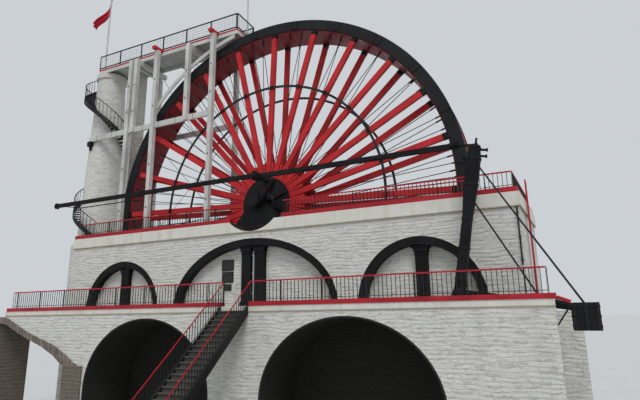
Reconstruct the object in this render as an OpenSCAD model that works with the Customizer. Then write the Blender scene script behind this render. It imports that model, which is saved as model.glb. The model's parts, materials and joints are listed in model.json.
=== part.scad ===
// Water wheel plant: a tall backshot wheel in a masonry wheelhouse, with its
// water tower, feed platform, crank, pumping rods and rocking balance post.
// The frame is: +X along the wheel's plane, +Y to the back, +Z up, and the
// origin on the floor under the middle of the axle.

/* [Wheel] */
// Outer radius of the wheel
wheel_r = 11050; // [9800:10:11200]
// Width of the wheel over its shrouds
wheel_w = 1830; // [1500:10:1900]
// Thickness of each shroud ring
shroud_t = 60; // [30:5:100]
// Depth of the shroud rings, which is the depth of the buckets
shroud_depth = 600; // [450:10:750]
// Thickness of the sole boards under the buckets
sole_t = 50; // [30:5:90]
// Number of buckets
bucket_n = 168; // [96:4:180]
// Thickness of a bucket board
bucket_t = 34; // [20:2:50]
// Share of the bucket's depth at which its board bends
bucket_elbow = 0.42; // [0.3:0.01:0.6]
// Number of spokes on each side
spoke_n = 24; // [16:1:26]
// Angle of the first spoke above the horizontal
spoke_phase = 12.7; // [0:0.1:15]
// Width of a spoke in the wheel's plane
spoke_w = 300; // [200:5:310]
// Thickness of a spoke along the axle
spoke_t = 200; // [120:5:260]
// Distance of each row of spokes from the wheel's outer face
spoke_inset = 15; // [5:5:60]
// Radius of the middle tie rings
mid_ring_r = 6950; // [5500:10:8500]
// Height of a tie ring's section
mid_ring_h = 130; // [80:5:200]
// Thickness of a tie ring's section
mid_ring_t = 55; // [30:5:70]

/* [Hub and axle] */
// Radius of the cast core on which the spokes stand
hub_r = 1270; // [1230:10:1400]
// Radius of the hub's cheek plates
cheek_r = 1500; // [1450:10:1900]
// Thickness of a cheek plate
cheek_t = 80; // [40:5:100]
// Outer radius of the wedges between the spokes
wedge_r = 2350; // [2000:10:2800]
// Radius of the axle
axle_r = 260; // [180:5:320]
// Length of each bearing along the axle
bearing_l = 600; // [400:10:700]
// Width of a bearing's foot
bearing_w = 2600; // [1800:10:2700]
// Height of a bearing's foot at its ends
bearing_foot_h = 160; // [100:10:260]
// Thickness of the bearing around the axle
bearing_wall = 170; // [120:10:200]
// Running clearance of pins and shafts in their bores
run_gap = 0.1; // [0.05:0.05:0.1]

/* [Crank] */
// Thickness of the crank's web
crank_t = 240; // [150:10:260]
// Throw of the crank, half of its stroke
crank_throw = 1220; // [900:10:1300]
// Angle of the crank pin above the horizontal, at rest
crank_angle = 44; // [30:1:60]
// Radius of the crank pin
crank_pin_r = 110; // [80:5:140]
// Radius of the crank's boss around the axle
crank_boss_r = 500; // [420:10:560]
// Radius of the crank's eye around its pin
crank_eye_r = 280; // [220:10:320]
// Height of the boss in front of the web
crank_boss_h = 90; // [50:10:120]

/* [Pumping rods] */
// Height of a rod's beam
rod_h = 230; // [160:10:300]
// Thickness of a rod's beam
rod_t = 150; // [100:10:160]
// Reach of the left rod from the axle
left_rod_reach = 13900; // [12800:50:14200]
// Reach of the right rod from the axle
right_rod_reach = 10900; // [9800:50:11200]
// Space between the wall's face and the rods
rod_wall_gap = 180; // [120:10:250]
// Space between the two rods
rod_gap = 20; // [10:5:40]
// Depth of the truss under the left rod
truss_depth = 260; // [180:10:320]

/* [Rocking post] */
// Distance of the post's foot from the axle
rocker_x = 10680; // [10500:10:10800]
// Height of the pivot above the terrace
rocker_pivot_h = 330; // [320:5:400]
// Length of the post above its pivot
rocker_l = 5850; // [5600:10:6000]
// Lean of the post at rest
rocker_lean = 10.3; // [9:0.1:12]
// Width of the post at its foot
rocker_w = 400; // [320:10:420]
// Thickness of the post
rocker_t = 360; // [260:10:400]
// Space between the left rod and the post
rocker_gap = 160; // [120:10:240]
// Distance of the counterweight from the pivot
arm_l = 4240; // [4200:10:4400]
// Height of the arm's section
arm_h = 260; // [220:10:280]
// Slope of the arm at rest
arm_slope = 9; // [8:0.1:9.8]
// Height of the counterweight box
weight_h = 950; // [800:10:1050]
// Length of the counterweight box
weight_l = 880; // [700:10:900]
// Width of the counterweight box
weight_w = 720; // [600:10:760]
// Width of the stays
stay_w = 70; // [40:2:100]
// Height of the pivot bearing's base
pivot_base_h = 70; // [50:5:80]
// Radius of the pivot pin
rocker_pin_r = 90; // [70:5:110]

/* [Wheelhouse] */
// Width of the wheel pit
pit_w = 2300; // [2200:10:2500]
// Thickness of the pit's floor
pit_floor_t = 300; // [200:10:500]
// Space between the wheel and the pit's floor
pit_gap = 250; // [150:10:400]
// Thickness of the long walls
wall_t = 1850; // [1800:10:2200]
// Height of the axle above the wall tops
axle_over_wall = 1340; // [1200:10:1450]
// Thickness of the wheelhouse's left end
left_end_t = 1300; // [1200:10:1400]
// Thickness of the wheelhouse's right end at the front
right_end_t = 1800; // [1600:10:1900]
// Distance by which the right end runs out towards the back
end_skew = 320; // [0:10:400]
// Height of the cornice
cornice_h = 610; // [400:10:700]
// Distance by which the cornice stands out
cornice_out = 70; // [40:5:110]
// Width of the kerb on the wall tops
kerb_w = 320; // [220:10:400]
// Height of the kerb
kerb_h = 230; // [150:10:280]
// Distance of the notch's middle to the right of the axle
notch_x = 420; // [380:10:500]
// Radius of the notch in front of the crank
notch_r = 1900; // [1850:10:1940]
// Space behind the crank in the notch
notch_gap = 150; // [100:10:170]
// Ends of the kerb on either side of the notch
kerb_ends = [-930, 2130];

/* [Upper arches] */
// Places of the three blind arches along the wall
upper_arch_x = [-8350, 330, 8870];
// Widths of the three blind arches
upper_arch_w = [5560, 9600, 5580];
// Rises of the three blind arches
upper_arch_rise = [2720, 3400, 2820];
// Depth of the blind arches
arch_recess = 450; // [300:10:700]
// Width of the black arch band
arch_band = 360; // [240:10:480]
// Depth of the black arch band
arch_band_d = 380; // [200:10:420]
// Places of the columns along the wall
column_x = [-8290, 10, 790, 8980];
// Width of a column's shaft
column_w = 520; // [400:10:560]
// Depth of a column's shaft
column_d = 300; // [200:10:320]
// Height of a column's base
column_base_h = 220; // [160:10:300]
// Height of a column's capital
column_cap_h = 260; // [180:10:300]
// Distance by which base and capital stand out
column_out = 45; // [20:5:60]

/* [Terrace] */
// Height of the terrace
terrace_h = 5950; // [5700:10:6200]
// Depth of the terrace in front of the wall
terrace_d = 2000; // [1900:10:2300]
// Distance of the terrace's left end from the axle
terrace_left = 15300; // [15100:10:15500]
// Distance of the terrace's right end from the axle
terrace_right = 14000; // [13800:10:14200]
// Height of the terrace kerb
terrace_kerb_h = 190; // [120:10:240]
// Distance by which the terrace kerb stands out
terrace_kerb_out = 60; // [40:5:90]
// Height of the band under the terrace kerb
terrace_band_h = 270; // [180:10:320]
// Distance by which that band stands out
terrace_band_out = 30; // [15:5:40]
// Places of the two vaults along the terrace
vault_x = [-4410, 6190];
// Width of a vault
vault_w = 7800; // [7000:50:8200]
// Distance of a vault's crown below the terrace
vault_cover = 560; // [500:10:800]
// Height of the springing above the floor
vault_spring = 2000; // [1600:10:2100]
// Thickness of the pit wall behind the vaults
vault_back_t = 700; // [500:10:1000]
// Places along the underside of the side arch, with their drops below the terrace
side_arch_under = [[-15750, 640], [-15010, 730], [-13880, 1210], [-12810, 1580], [-11710, 1940],
    [-10770, 2360], [-10100, 2780], [-9900, 2850]];
// Places along the back of the side arch, with their drops below the terrace
side_arch_back = [[-15750, 300], [-15010, 390], [-13880, 870], [-12870, 1250], [-10850, 1840],
    [-9870, 2300], [-9160, 2710], [-8800, 2850]];
// Distance of the pier's right face from the axle
side_pier_right = 8500; // [8400:10:8700]
// Distance of the far abutment's left face from the axle
abutment_left = 16600; // [16200:10:17000]
// Distance by which the side arch stands out
side_ring_out = 90; // [40:5:150]
// Width of the slot for the rocking arm
arm_slot_w = 440; // [400:10:520]
// Depth of that slot below the terrace
arm_slot_d = 600; // [570:10:700]
// Distance of that slot from the pivot
arm_slot_x = 620; // [560:10:680]

/* [Terrace stair] */
// Place of the stair's middle along the terrace
stair_x = 900; // [700:10:1100]
// Width of the stair
stair_w = 1400; // [1100:10:1600]
// Number of steps
stair_n = 30; // [26:1:34]
// Going of one step
stair_going = 235; // [220:5:280]
// Thickness of a tread
stair_tread_t = 60; // [40:5:80]
// Depth of the strings
string_h = 300; // [240:10:360]
// Thickness of the strings
string_t = 70; // [50:5:100]

/* [Timber frame] */
// Places of the front posts that stand on the wall
front_post_x = [-10760, -8470, -3820];
// Places of the short posts that stand on the front beam
short_post_x = [-10270, -5780];
// Places of the rear posts
rear_post_x = [-10650, -3820];
// Places of the posts that reach the deck's edge
edge_post_x = [-8470, -3820];
// Width of a post
post_w = 280; // [240:10:320]
// Thickness of a post
post_t = 280; // [240:10:320]
// Height of the long beams above the axle
beam_over_axle = 6100; // [5500:10:7000]
// Height of a long beam's section
beam_h = 360; // [240:10:420]
// Thickness of a long beam
beam_t = 140; // [100:5:160]
// Distance by which the front beam passes the tower's middle
beam_past_tower = 300; // [150:10:400]
// Height of the deck above the rim
deck_over_rim = 480; // [400:10:600]
// Width of the deck
deck_w = 1800; // [1600:10:2000]
// Thickness of the deck
deck_t = 80; // [50:5:110]
// Distance by which the deck passes the tower's middle
deck_past_tower = 300; // [200:10:500]
// Reach of the deck to the right
deck_right = 2300; // [2000:10:2600]
// Height of the deck's edge boards
fascia_h = 240; // [200:10:280]
// Thickness of the deck's edge boards
fascia_t = 60; // [40:5:80]
// Height of the trim on the edge boards
trim_h = 120; // [90:10:150]
// Distance by which the trim rises above the deck
trim_up = 60; // [40:5:80]
// Height of the heads that reach the deck's edge
head_h = 200; // [160:10:240]
// Height of the heads under the deck
low_head_h = 300; // [240:10:340]
// Distance by which a head passes its post
head_out = 260; // [100:10:300]
// Width of the apron board along the rim
apron_w = 240; // [180:10:300]
// Thickness of the apron board
apron_t = 70; // [40:5:90]
// Space between the rim and the apron board
apron_gap = 20; // [10:5:60]
// Angles between which the apron board runs
apron_angles = [102, 142];

/* [Tower] */
// Distance of the tower's middle beyond the wheelhouse
tower_out = 1500; // [1460:10:1560]
// Radius at the foot
tower_r = 1360; // [1300:10:1420]
// Radius under the cap
tower_top_r = 950; // [920:10:1000]
// Radius of the drum under the tower
tower_base_r = 1650; // [1600:10:1680]
// Half width of the block between the drum and the wheelhouse
tower_link_w = 1600; // [1400:10:1640]
// Height of the cap ring
cap_h = 320; // [200:10:450]
// Distance by which the cap stands out
cap_out = 110; // [60:10:160]
// Turns of the winding stair
wind_turns = 1.54; // [1.52:0.01:1.56]
// Direction of the winding stair's first step
wind_start = -38; // [-40:1:-36]
// Number of winding steps
wind_n = 64; // [60:1:68]
// Outer radius of the winding stair
wind_r = 1700; // [1690:10:1750]
// Reach of the landing to the right of the tower's middle
landing_x = 500; // [300:10:800]
// Thickness of a winding step
wind_tread_t = 60; // [40:5:80]
// Height of the outer string
wind_string_h = 340; // [260:10:400]
// Thickness of the outer string
wind_string_t = 50; // [30:5:70]
// Space between the pit and the pier at the head of the wheel
feed_pier_gap = 100; // [60:10:150]
// Length of that pier along the wall
feed_pier_l = 550; // [450:10:580]
// Front face of that pier
feed_pier_y = -350; // [-420:10:-300]
// Width of that pier
feed_pier_w = 1130; // [900:10:1200]

/* [Railings] */
// Height of the fences and railings
rail_h = 930; // [850:10:1100]
// Height of the deck's railing
deck_rail_h = 1100; // [900:10:1200]
// Spacing of the pickets
picket_pitch = 180; // [150:5:240]
// Thickness of a picket
picket_t = 24; // [18:2:36]
// Thickness of the hand rails
hand_t = 60; // [40:5:80]
// Height of the low rail above the foot
low_rail_h = 90; // [60:10:150]
// Spacing of the deck railing's posts
deck_post_pitch = 1900; // [1500:50:2200]

/* [Flagpoles and fittings] */
// Height of the left flagpole above the deck
left_pole_h = 5850; // [5000:50:6200]
// Height of the right flagpole above the deck
right_pole_h = 4600; // [4000:50:5500]
// Distance of each flagpole from the deck's end
pole_inset = 350; // [250:10:450]
// Distance of each flagpole from the deck's edge
pole_side = 150; // [100:10:200]
// Radius of the flagpoles
pole_r = 45; // [30:5:60]
// Length of the flag
flag_l = 1450; // [1000:50:1800]
// Height of the flag
flag_h = 900; // [700:50:1100]
// Thickness of the flag
flag_t = 30; // [20:5:40]
// Length of the end buttress
buttress_l = 1800; // [1500:50:2100]
// Height of the end buttress
buttress_h = 5550; // [5000:50:5900]

/* [Hidden] */
$fn = 96;
hub_z = pit_floor_t + pit_gap + wheel_r;
wall_top = hub_z - axle_over_wall;
pit_y = pit_w / 2;
face_y = pit_y + wall_t;
front_y = face_y + terrace_d;
pit_end = wheel_r + pit_gap;
wall_left = pit_end + left_end_t;
wall_right = pit_end + right_end_t;
buttress_right = wall_right + buttress_l;
tower_x = -wall_left - tower_out;
deck_left = deck_past_tower - tower_x;
beam_left = beam_past_tower - tower_x;
feed_pier_x = -pit_end - feed_pier_gap - feed_pier_l;
vault_rise = terrace_h - vault_spring - vault_cover;
deck_z = hub_z + wheel_r + deck_over_rim;
shroud_in = wheel_r - shroud_depth;
sole_in = shroud_in - sole_t;
half_w = wheel_w / 2;
spoke_y = half_w - spoke_inset - spoke_t / 2;
spoke_face = half_w - spoke_inset;
seat_gap = 0.3;
band_gap = 4;
bearing_y = pit_y + 120;
crank_y = bearing_y + bearing_l + 180;
rod_y = face_y + cornice_out + rod_wall_gap;
pin_x = crank_throw * cos(crank_angle);
pin_z = hub_z + crank_throw * sin(crank_angle);
rocker_y = rod_y + 2 * rod_t + rod_gap + rocker_gap + rocker_t / 2;
rocker_z = terrace_h + rocker_pivot_h;
post_in = pit_y + 10;
post_y = post_in + post_t / 2;
beam_z = hub_z + beam_over_axle - beam_h / 2;
trim_z = deck_z + trim_up - trim_h;
fascia_z = trim_z - fascia_h;
edge_y = deck_w / 2 + fascia_t;
tower_top = fascia_z - cap_h;
weight_x = arm_l - weight_l / 2;
arm_slot_start = rocker_x + arm_slot_x;
fence_y = face_y - kerb_w / 2;

// Points of half an ellipse that springs from the X axis
function half_ellipse(w, rise, n) =
    [for (i = [0:n]) [w / 2 * cos(180 * i / n), rise * sin(180 * i / n)]];

// Stands a drawing up in the XZ plane, from y to y + t
module upright(y, t) {
    translate([0, y + t, 0]) rotate([90, 0, 0]) linear_extrude(t) children();
}

// Lays a shape along the axle's line, from y to y + t
module along_axle(y, t) {
    translate([0, y + t, hub_z]) rotate([90, 0, 0]) linear_extrude(t) children();
}

// Point at a radius and an angle
function polar(r, a) = [r * cos(a), r * sin(a)];

// A block from one corner to the other
module block(low, high) {
    translate(low) cube(high - low);
}

// A slab between two heights, from its outline on the ground
module slab(outline, z0, z1) {
    translate([0, 0, z0]) linear_extrude(z1 - z0) polygon(outline);
}

// Pit and long walls
module pit_floor() {
    color("dimgray") block([-pit_end, -pit_y, 0], [pit_end, pit_y, pit_floor_t]);
}

module vault_shape(w, rise) {
    translate([0, vault_spring]) polygon(half_ellipse(w, rise, 48));
    translate([-w / 2, 0]) square([w, vault_spring]);
}

module arch_shape(i, inset) {
    translate([upper_arch_x[i], terrace_h])
        polygon(half_ellipse(upper_arch_w[i] - 2 * inset, upper_arch_rise[i] - inset, 40));
}

// Place of the right end face at y
function end_x(y) = wall_right + end_skew * (y + face_y) / (2 * face_y);

// Outline of the wheelhouse, drawn in by inset and lengthened at the left by over
function house_outline(inset, over) = let (y = face_y - inset)
    [[-wall_left - over, -y], [end_x(-y) - inset, -y], [end_x(y) - inset, y], [-wall_left - over, y]];

// Outline between two lines along the wheel, from x0 to the right end face
function strip(x0, y0, y1) = [[x0, y0], [end_x(y0), y0], [end_x(y1), y1], [x0, y1]];

// One long wall: side is -1 for the front and 1 for the rear
module long_wall(side) {
    difference() {
        slab(strip(-wall_left, side * face_y, side * pit_y), 0, wall_top);
        mirror([0, side > 0 ? 1 : 0, 0]) {
            for (i = [0:2]) upright(-face_y - 1, arch_recess + 1) arch_shape(i, 0);
            for (x = vault_x) translate([x, 0, 0])
                upright(-face_y - 1, wall_t - vault_back_t + 1) vault_shape(vault_w, vault_rise);
        }
    }
}

// Round notch in the front wall, in which the crank turns
module notch() {
    translate([notch_x, notch_gap - crank_y, hub_z]) rotate([90, 0, 0]) cylinder(r = notch_r, h = face_y);
}

module front_wall() {
    color("whitesmoke") difference() {
        long_wall(-1);
        notch();
    }
}

module rear_wall() {
    color("whitesmoke") long_wall(1);
}

module left_end_wall() {
    color("whitesmoke") block([-wall_left, -pit_y, 0], [-pit_end, pit_y, wall_top]);
}

module right_end_wall() {
    color("whitesmoke") slab(strip(pit_end, -pit_y, pit_y), 0, wall_top);
}

module tower_base() {
    color("whitesmoke") difference() {
        union() {
            translate([tower_x, 0, 0]) cylinder(r = tower_base_r, h = wall_top);
            block([tower_x, -tower_link_w, 0], [-wall_left, tower_link_w, wall_top]);
        }
        block([-wall_left, -face_y, -1], [0, face_y, wall_top + 1]);
    }
}

// Terrace in front, with two vaults and the side arch at the left
function dropped(points) = [for (p = points) [p[0], terrace_h - p[1]]];
function reversed(points) = [for (i = [len(points) - 1:-1:0]) points[i]];
side_pier_left = -side_arch_under[len(side_arch_under) - 1][0];
side_pier_top = terrace_h - side_arch_under[len(side_arch_under) - 1][1];
side_back_top = terrace_h - side_arch_back[0][1];

// Opening of the terrace for the side arch and its pier
module side_opening() {
    x0 = -abutment_left;
    polygon(concat([[x0, -1], [x0, side_back_top]], dropped(side_arch_back),
        [[-side_pier_right, side_pier_top], [-side_pier_right, -1]]));
}

module terrace_wall() {
    color("whitesmoke") difference() {
        block([-terrace_left, -front_y, 0], [arm_slot_start, -face_y, terrace_h]);
        for (x = vault_x) translate([x, 0, 0])
            upright(-front_y - 1, terrace_d + 2) vault_shape(vault_w, vault_rise);
        upright(-front_y - 1, terrace_d + 2) side_opening();
    }
}

// Right end of the terrace, with the slot between two cheeks in which the arm rocks
module terrace_end() {
    z0 = terrace_h - arm_slot_d;
    color("whitesmoke") {
        block([arm_slot_start, -front_y, 0], [terrace_right, -face_y, z0]);
        for (y = [[-front_y, -rocker_y - arm_slot_w / 2], [-rocker_y + arm_slot_w / 2, -face_y]])
            block([arm_slot_start, y[0], z0 + seat_gap], [terrace_right, y[1], terrace_h]);
    }
}

// Bare pier and abutment on which the side arch stands
module side_piers() {
    y0 = -front_y - side_ring_out;
    color("sienna") {
        block([-side_pier_left, y0, 0], [-side_pier_right, -face_y, side_pier_top]);
        block([-abutment_left, y0, 0], [side_arch_back[0][0], -face_y, side_back_top]);
    }
}

module side_arch_ring() {
    color("rosybrown") upright(-front_y - side_ring_out, terrace_d + side_ring_out)
        polygon(concat(dropped(side_arch_under), reversed(dropped(side_arch_back))));
}

// Cornice round the wheelhouse, with the crank's notch in its upper part
module cornice() {
    color("ivory") difference() {
        translate([0, 0, wall_top - cornice_h]) linear_extrude(cornice_h) difference() {
            polygon(house_outline(-cornice_out, 0));
            polygon(house_outline(-seat_gap, 1));
        }
        notch();
    }
}

module upper_kerb() {
    color("firebrick") translate([0, 0, wall_top]) linear_extrude(kerb_h) difference() {
        polygon(house_outline(0, 0));
        polygon(house_outline(kerb_w, 1));
        translate([kerb_ends[0], -face_y - 1]) square([kerb_ends[1] - kerb_ends[0], kerb_w + 2]);
    }
}

module terrace_band() {
    color("ivory") block([-terrace_left, -front_y - terrace_band_out, terrace_h - terrace_band_h],
        [terrace_right, -front_y, terrace_h]);
}

module terrace_kerb() {
    z1 = terrace_h + terrace_kerb_h;
    gap = stair_w / 2 + string_t;
    color("firebrick") {
        block([-terrace_left + 120, -front_y - terrace_kerb_out, terrace_h],
            [stair_x - gap, -front_y + kerb_w, z1]);
        block([stair_x + gap, -front_y - terrace_kerb_out, terrace_h],
            [terrace_right + terrace_kerb_out, -front_y + kerb_w, z1]);
        block([terrace_right - kerb_w, -front_y, terrace_h],
            [terrace_right + terrace_kerb_out, -rocker_y - arm_slot_w / 2, z1]);
    }
}

// Black bands and columns in the blind arches, on both long faces
module one_band(i) {
    upright(-face_y + 20, arch_band_d) difference() {
        arch_shape(i, seat_gap);
        arch_shape(i, arch_band);
        translate([upper_arch_x[i] - upper_arch_w[i], terrace_h - 1])
            square([2 * upper_arch_w[i], seat_gap + 1]);
    }
}

module arch_bands() {
    color("black") for (s = [0, 1]) mirror([0, s, 0]) for (i = [0:2]) one_band(i);
}

// Index of the arch that holds a column
function arch_of(x) = x < upper_arch_x[0] + upper_arch_w[0] ? 0
    : x < upper_arch_x[1] + upper_arch_w[1] / 2 ? 1 : 2;

// Height inside the band of arch i at x, over the width of a capital
function arch_clear(i, x) = (upper_arch_rise[i] - arch_band)
    * sqrt(1 - pow((abs(x - upper_arch_x[i]) + column_w / 2 + column_out)
    / (upper_arch_w[i] / 2 - arch_band), 2)) - band_gap;

module column(x) {
    h = arch_clear(arch_of(x), x);
    w = column_w / 2;
    y0 = -face_y + arch_recess;
    stages = [[0, column_base_h, column_out], [column_base_h, h - column_cap_h, 0],
        [h - column_cap_h, h, column_out]];
    for (k = stages) block([x - w - k[2], y0 - column_d - k[2], terrace_h + k[0]],
        [x + w + k[2], y0 - seat_gap, terrace_h + k[1]]);
}

module columns() {
    color("black") for (s = [0, 1]) mirror([0, s, 0]) for (x = column_x) column(x);
}

module end_buttress() {
    color("whitesmoke") slab([[end_x(-pit_y), -pit_y], [buttress_right, -pit_y],
        [buttress_right, pit_y], [end_x(pit_y), pit_y]], 0, buttress_h);
}

// Pier between the tower and the head of the wheel
module feed_pier() {
    color("whitesmoke") block([feed_pier_x, feed_pier_y, wall_top],
        [feed_pier_x + feed_pier_l, feed_pier_y + feed_pier_w, deck_z - deck_t - seat_gap]);
}

// Water tower with its winding stair
function tower_rad(z) = tower_r + (tower_top_r - tower_r) * (z - wall_top) / (tower_top - wall_top);
wind_rise = (deck_z - wall_top) / wind_n;
wind_step = 360 * wind_turns / wind_n;
function wind_at(r, k) = [r * cos(wind_start - k * wind_step), r * sin(wind_start - k * wind_step)];

module tower() {
    color("whitesmoke") translate([tower_x, 0, wall_top])
        cylinder(r1 = tower_r, r2 = tower_top_r, h = tower_top - wall_top);
}

// Cap ring with the block on which the deck lies
module tower_cap() {
    color("whitesmoke") translate([tower_x, 0, tower_top]) {
        cylinder(r = tower_top_r + cap_out, h = cap_h);
        block([-deck_left - tower_x, 200 - deck_w / 2, cap_h],
            [landing_x, deck_w / 2 - 200, deck_z - deck_t - tower_top - seat_gap]);
    }
}

module winding_steps() {
    color("dimgray") translate([tower_x, 0, 0]) for (k = [0:wind_n - 2]) {
        z = wall_top + (k + 1) * wind_rise;
        in_r = (z > tower_top ? tower_top_r + cap_out : tower_rad(z - wind_tread_t))
            / cos(wind_step / 2) + seat_gap;
        translate([0, 0, z - wind_tread_t]) linear_extrude(wind_tread_t)
            polygon([wind_at(in_r, k), wind_at(wind_r, k), wind_at(wind_r, k + 1), wind_at(in_r, k + 1)]);
    }
}

// A bar of rectangular section that winds up the tower
module winding_bar(r0, r1, z0, z1, k0, k1) {
    n = k1 - k0;
    points = [for (k = [k0:k1]) for (c = [[r0, z0], [r1, z0], [r1, z1], [r0, z1]])
        concat(wind_at(c[0], k), [wall_top + k * wind_rise + c[1]])];
    faces = concat([[0, 1, 2, 3]], [[4 * n + 3, 4 * n + 2, 4 * n + 1, 4 * n]],
        [for (i = [0:n - 1]) for (j = [0:3]) for (half = [0, 1]) let (k = (j + 1) % 4)
            half == 0 ? [4 * i + j, 4 * i + 4 + j, 4 * i + 4 + k] : [4 * i + j, 4 * i + 4 + k, 4 * i + k]]);
    translate([tower_x, 0, 0]) polyhedron(points, faces, convexity = 8);
}

wind_low = wind_rise - wind_string_h * 0.7;

module winding_string() {
    color("black") winding_bar(wind_r + seat_gap, wind_r + wind_string_t,
        wind_low, wind_low + wind_string_h, 1, wind_n - 1);
}

module winding_rail() {
    low = wind_low + wind_string_h + rail_h;
    color("black") winding_bar(wind_r, wind_r + wind_string_t, low - hand_t, low, 1, wind_n - 1);
}

module winding_balusters() {
    low = wind_low + wind_string_h;
    mid_r = wind_r + wind_string_t / 2;
    slope = wind_rise / (2 * mid_r * sin(wind_step / 2));
    ease = seat_gap + (picket_t / 2 + wind_string_t / 2 * sin(wind_step / 2)) * slope;
    color("black") for (k = [1.5:1:wind_n - 1.5]) {
        p = wind_at(mid_r * cos(wind_step / 2), k);
        translate([tower_x + p[0], p[1], wall_top + k * wind_rise + low + ease])
            rotate([0, 0, wind_start - k * wind_step]) translate([-picket_t / 2, -picket_t / 2, 0])
            cube([picket_t, picket_t, rail_h - hand_t - 2 * ease]);
    }
}

// Timber frame
edge_post_top = deck_z - deck_t;
low_post_top = fascia_z - low_head_h;

// Posts on one side, halved over the long beam: y is -1 for the front and 1 for the rear
module posts(xs, side, z0) {
    for (x = xs) {
        edge = min([for (e = edge_post_x) abs(e - x)]) == 0;
        difference() {
            block([x - post_w / 2, side * post_y - post_t / 2, z0],
                [x + post_w / 2, side * post_y + post_t / 2, (edge ? edge_post_top : low_post_top) - seat_gap]);
            block([x - post_w, side * post_y - (beam_t + post_t) * (1 + side) / 2, beam_z],
                [x + post_w, side * post_y + (beam_t + post_t) * (1 - side) / 2, beam_z + beam_h]);
        }
    }
}

module front_posts() {
    color("gainsboro") {
        posts(front_post_x, -1, wall_top);
        posts(short_post_x, -1, beam_z);
    }
}

module rear_posts() {
    color("gainsboro") posts(rear_post_x, 1, wall_top);
}

module long_beams() {
    x1 = front_post_x[2] + post_w / 2;
    color("gainsboro") {
        block([-beam_left, -post_y, beam_z + seat_gap], [x1, beam_t - post_y, beam_z + beam_h - seat_gap]);
        block([rear_post_x[0] - post_w / 2, post_y - beam_t, beam_z + seat_gap],
            [x1, post_y, beam_z + beam_h - seat_gap]);
    }
}

// Heads under the deck, across the posts that end below its edge
module low_heads() {
    y = post_y + post_t / 2;
    color("gainsboro") for (x = [front_post_x[0], short_post_x[0], short_post_x[1]])
        block([x - post_w / 2, -y, low_post_top], [x + post_w / 2, y, fascia_z - seat_gap]);
}

// Heads on the tall posts, each from the deck's edge out over its post
module cross_heads() {
    color("firebrick") for (s = [0, 1]) mirror([0, s, 0]) for (x = edge_post_x)
        block([x - post_w / 2, -post_y - post_t / 2 - head_out, edge_post_top],
            [x + post_w / 2, -edge_y - seat_gap, edge_post_top + head_h]);
}

land_k = wind_n - 1 + 0.05;

module deck() {
    a = wind_at(1, land_k);
    r0 = (edge_y + seat_gap) / a[1];
    r1 = wind_r + wind_string_t;
    color("lightslategray") {
        block([-deck_left, -deck_w / 2, deck_z - deck_t], [-deck_right, deck_w / 2, deck_z]);
        translate([tower_x, 0, 0]) slab([r0 * a, r1 * a, r1 * [cos(105), sin(105)], [landing_x, r1 * sin(105)],
            [landing_x, edge_y + seat_gap]], deck_z - deck_t, deck_z);
    }
}

// Strip along the deck's sides and its right end, open at the landing from x0 on
module deck_edge(x0, z0, z1) {
    y0 = deck_w / 2;
    block([-deck_left, -edge_y, z0], [-deck_right, -y0, z1]);
    block([x0, y0, z0], [-deck_right, edge_y, z1]);
    block([-deck_right, -edge_y, z0], [-deck_right + fascia_t, edge_y, z1]);
}

module deck_fascia() {
    color("gainsboro") deck_edge(-deck_left, fascia_z, trim_z);
}

module deck_trim() {
    color("firebrick") deck_edge(tower_x + landing_x, trim_z + seat_gap, deck_z + trim_up);
}

// One railing bay pattern: posts and rails, cut from one sheet outline
module rail_sheet(l, h, pitch, t, low) {
    n = max(1, round(l / pitch));
    gap = l / n;
    difference() {
        square([l, h]);
        for (i = [0:n - 1]) {
            translate([i * gap + t / 2, low + t]) square([gap - t, h - low - t - hand_t]);
            translate([i * gap + t / 2, -1]) square([gap - t, low + 1]);
        }
    }
}

// A fence panel from a to b, of picket thickness
module fence(a, b, z, h, pitch, t) {
    d = b - a;
    translate([a[0], a[1], z]) rotate([0, 0, atan2(d[1], d[0])]) translate([0, t / 2, 0])
        rotate([90, 0, 0]) linear_extrude(t) rail_sheet(norm(d), h, pitch, t, low_rail_h);
}

module deck_railing() {
    y = deck_w / 2 + fascia_t / 2;
    z = deck_z + trim_up;
    x1 = -deck_right + fascia_t / 2;
    color("black") {
        fence([-deck_left, -y], [x1 - hand_t, -y], z, deck_rail_h, deck_post_pitch, hand_t);
        fence([tower_x + landing_x + hand_t, y], [x1 - hand_t, y], z, deck_rail_h, deck_post_pitch, hand_t);
        fence([x1, -y], [x1, y], z, deck_rail_h, deck_w, hand_t);
    }
}

// Curved board that follows the rim under the deck
function arc_points(r, a0, a1, n) = [for (i = [0:n]) polar(r, a0 + (a1 - a0) * i / n)];

module apron_board() {
    r0 = wheel_r + apron_gap;
    a0 = apron_angles[0];
    a1 = apron_angles[1];
    color("gainsboro") for (s = [0, 1]) mirror([0, s, 0]) along_axle(-post_in + seat_gap, apron_t)
        polygon(concat(arc_points(r0 + apron_w, a0, a1, 24), arc_points(r0, a1, a0, 24)));
}

left_pole = [-deck_left + pole_inset, -deck_w / 2 + pole_side];
right_pole = [-deck_right - pole_inset, deck_w / 2 - pole_side];

module flagpoles() {
    color("gainsboro") {
        translate([left_pole[0], left_pole[1], deck_z]) cylinder(r = pole_r, h = left_pole_h, $fn = 24);
        translate([right_pole[0], right_pole[1], deck_z]) cylinder(r = pole_r, h = right_pole_h, $fn = 24);
    }
}

module flag() {
    x1 = left_pole[0] - pole_r - seat_gap;
    y1 = left_pole[1];
    z1 = deck_z + left_pole_h - pole_side;
    color("red") block([x1 - flag_l, y1 - flag_t / 2, z1 - flag_h], [x1, y1 + flag_t / 2, z1]);
}

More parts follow.
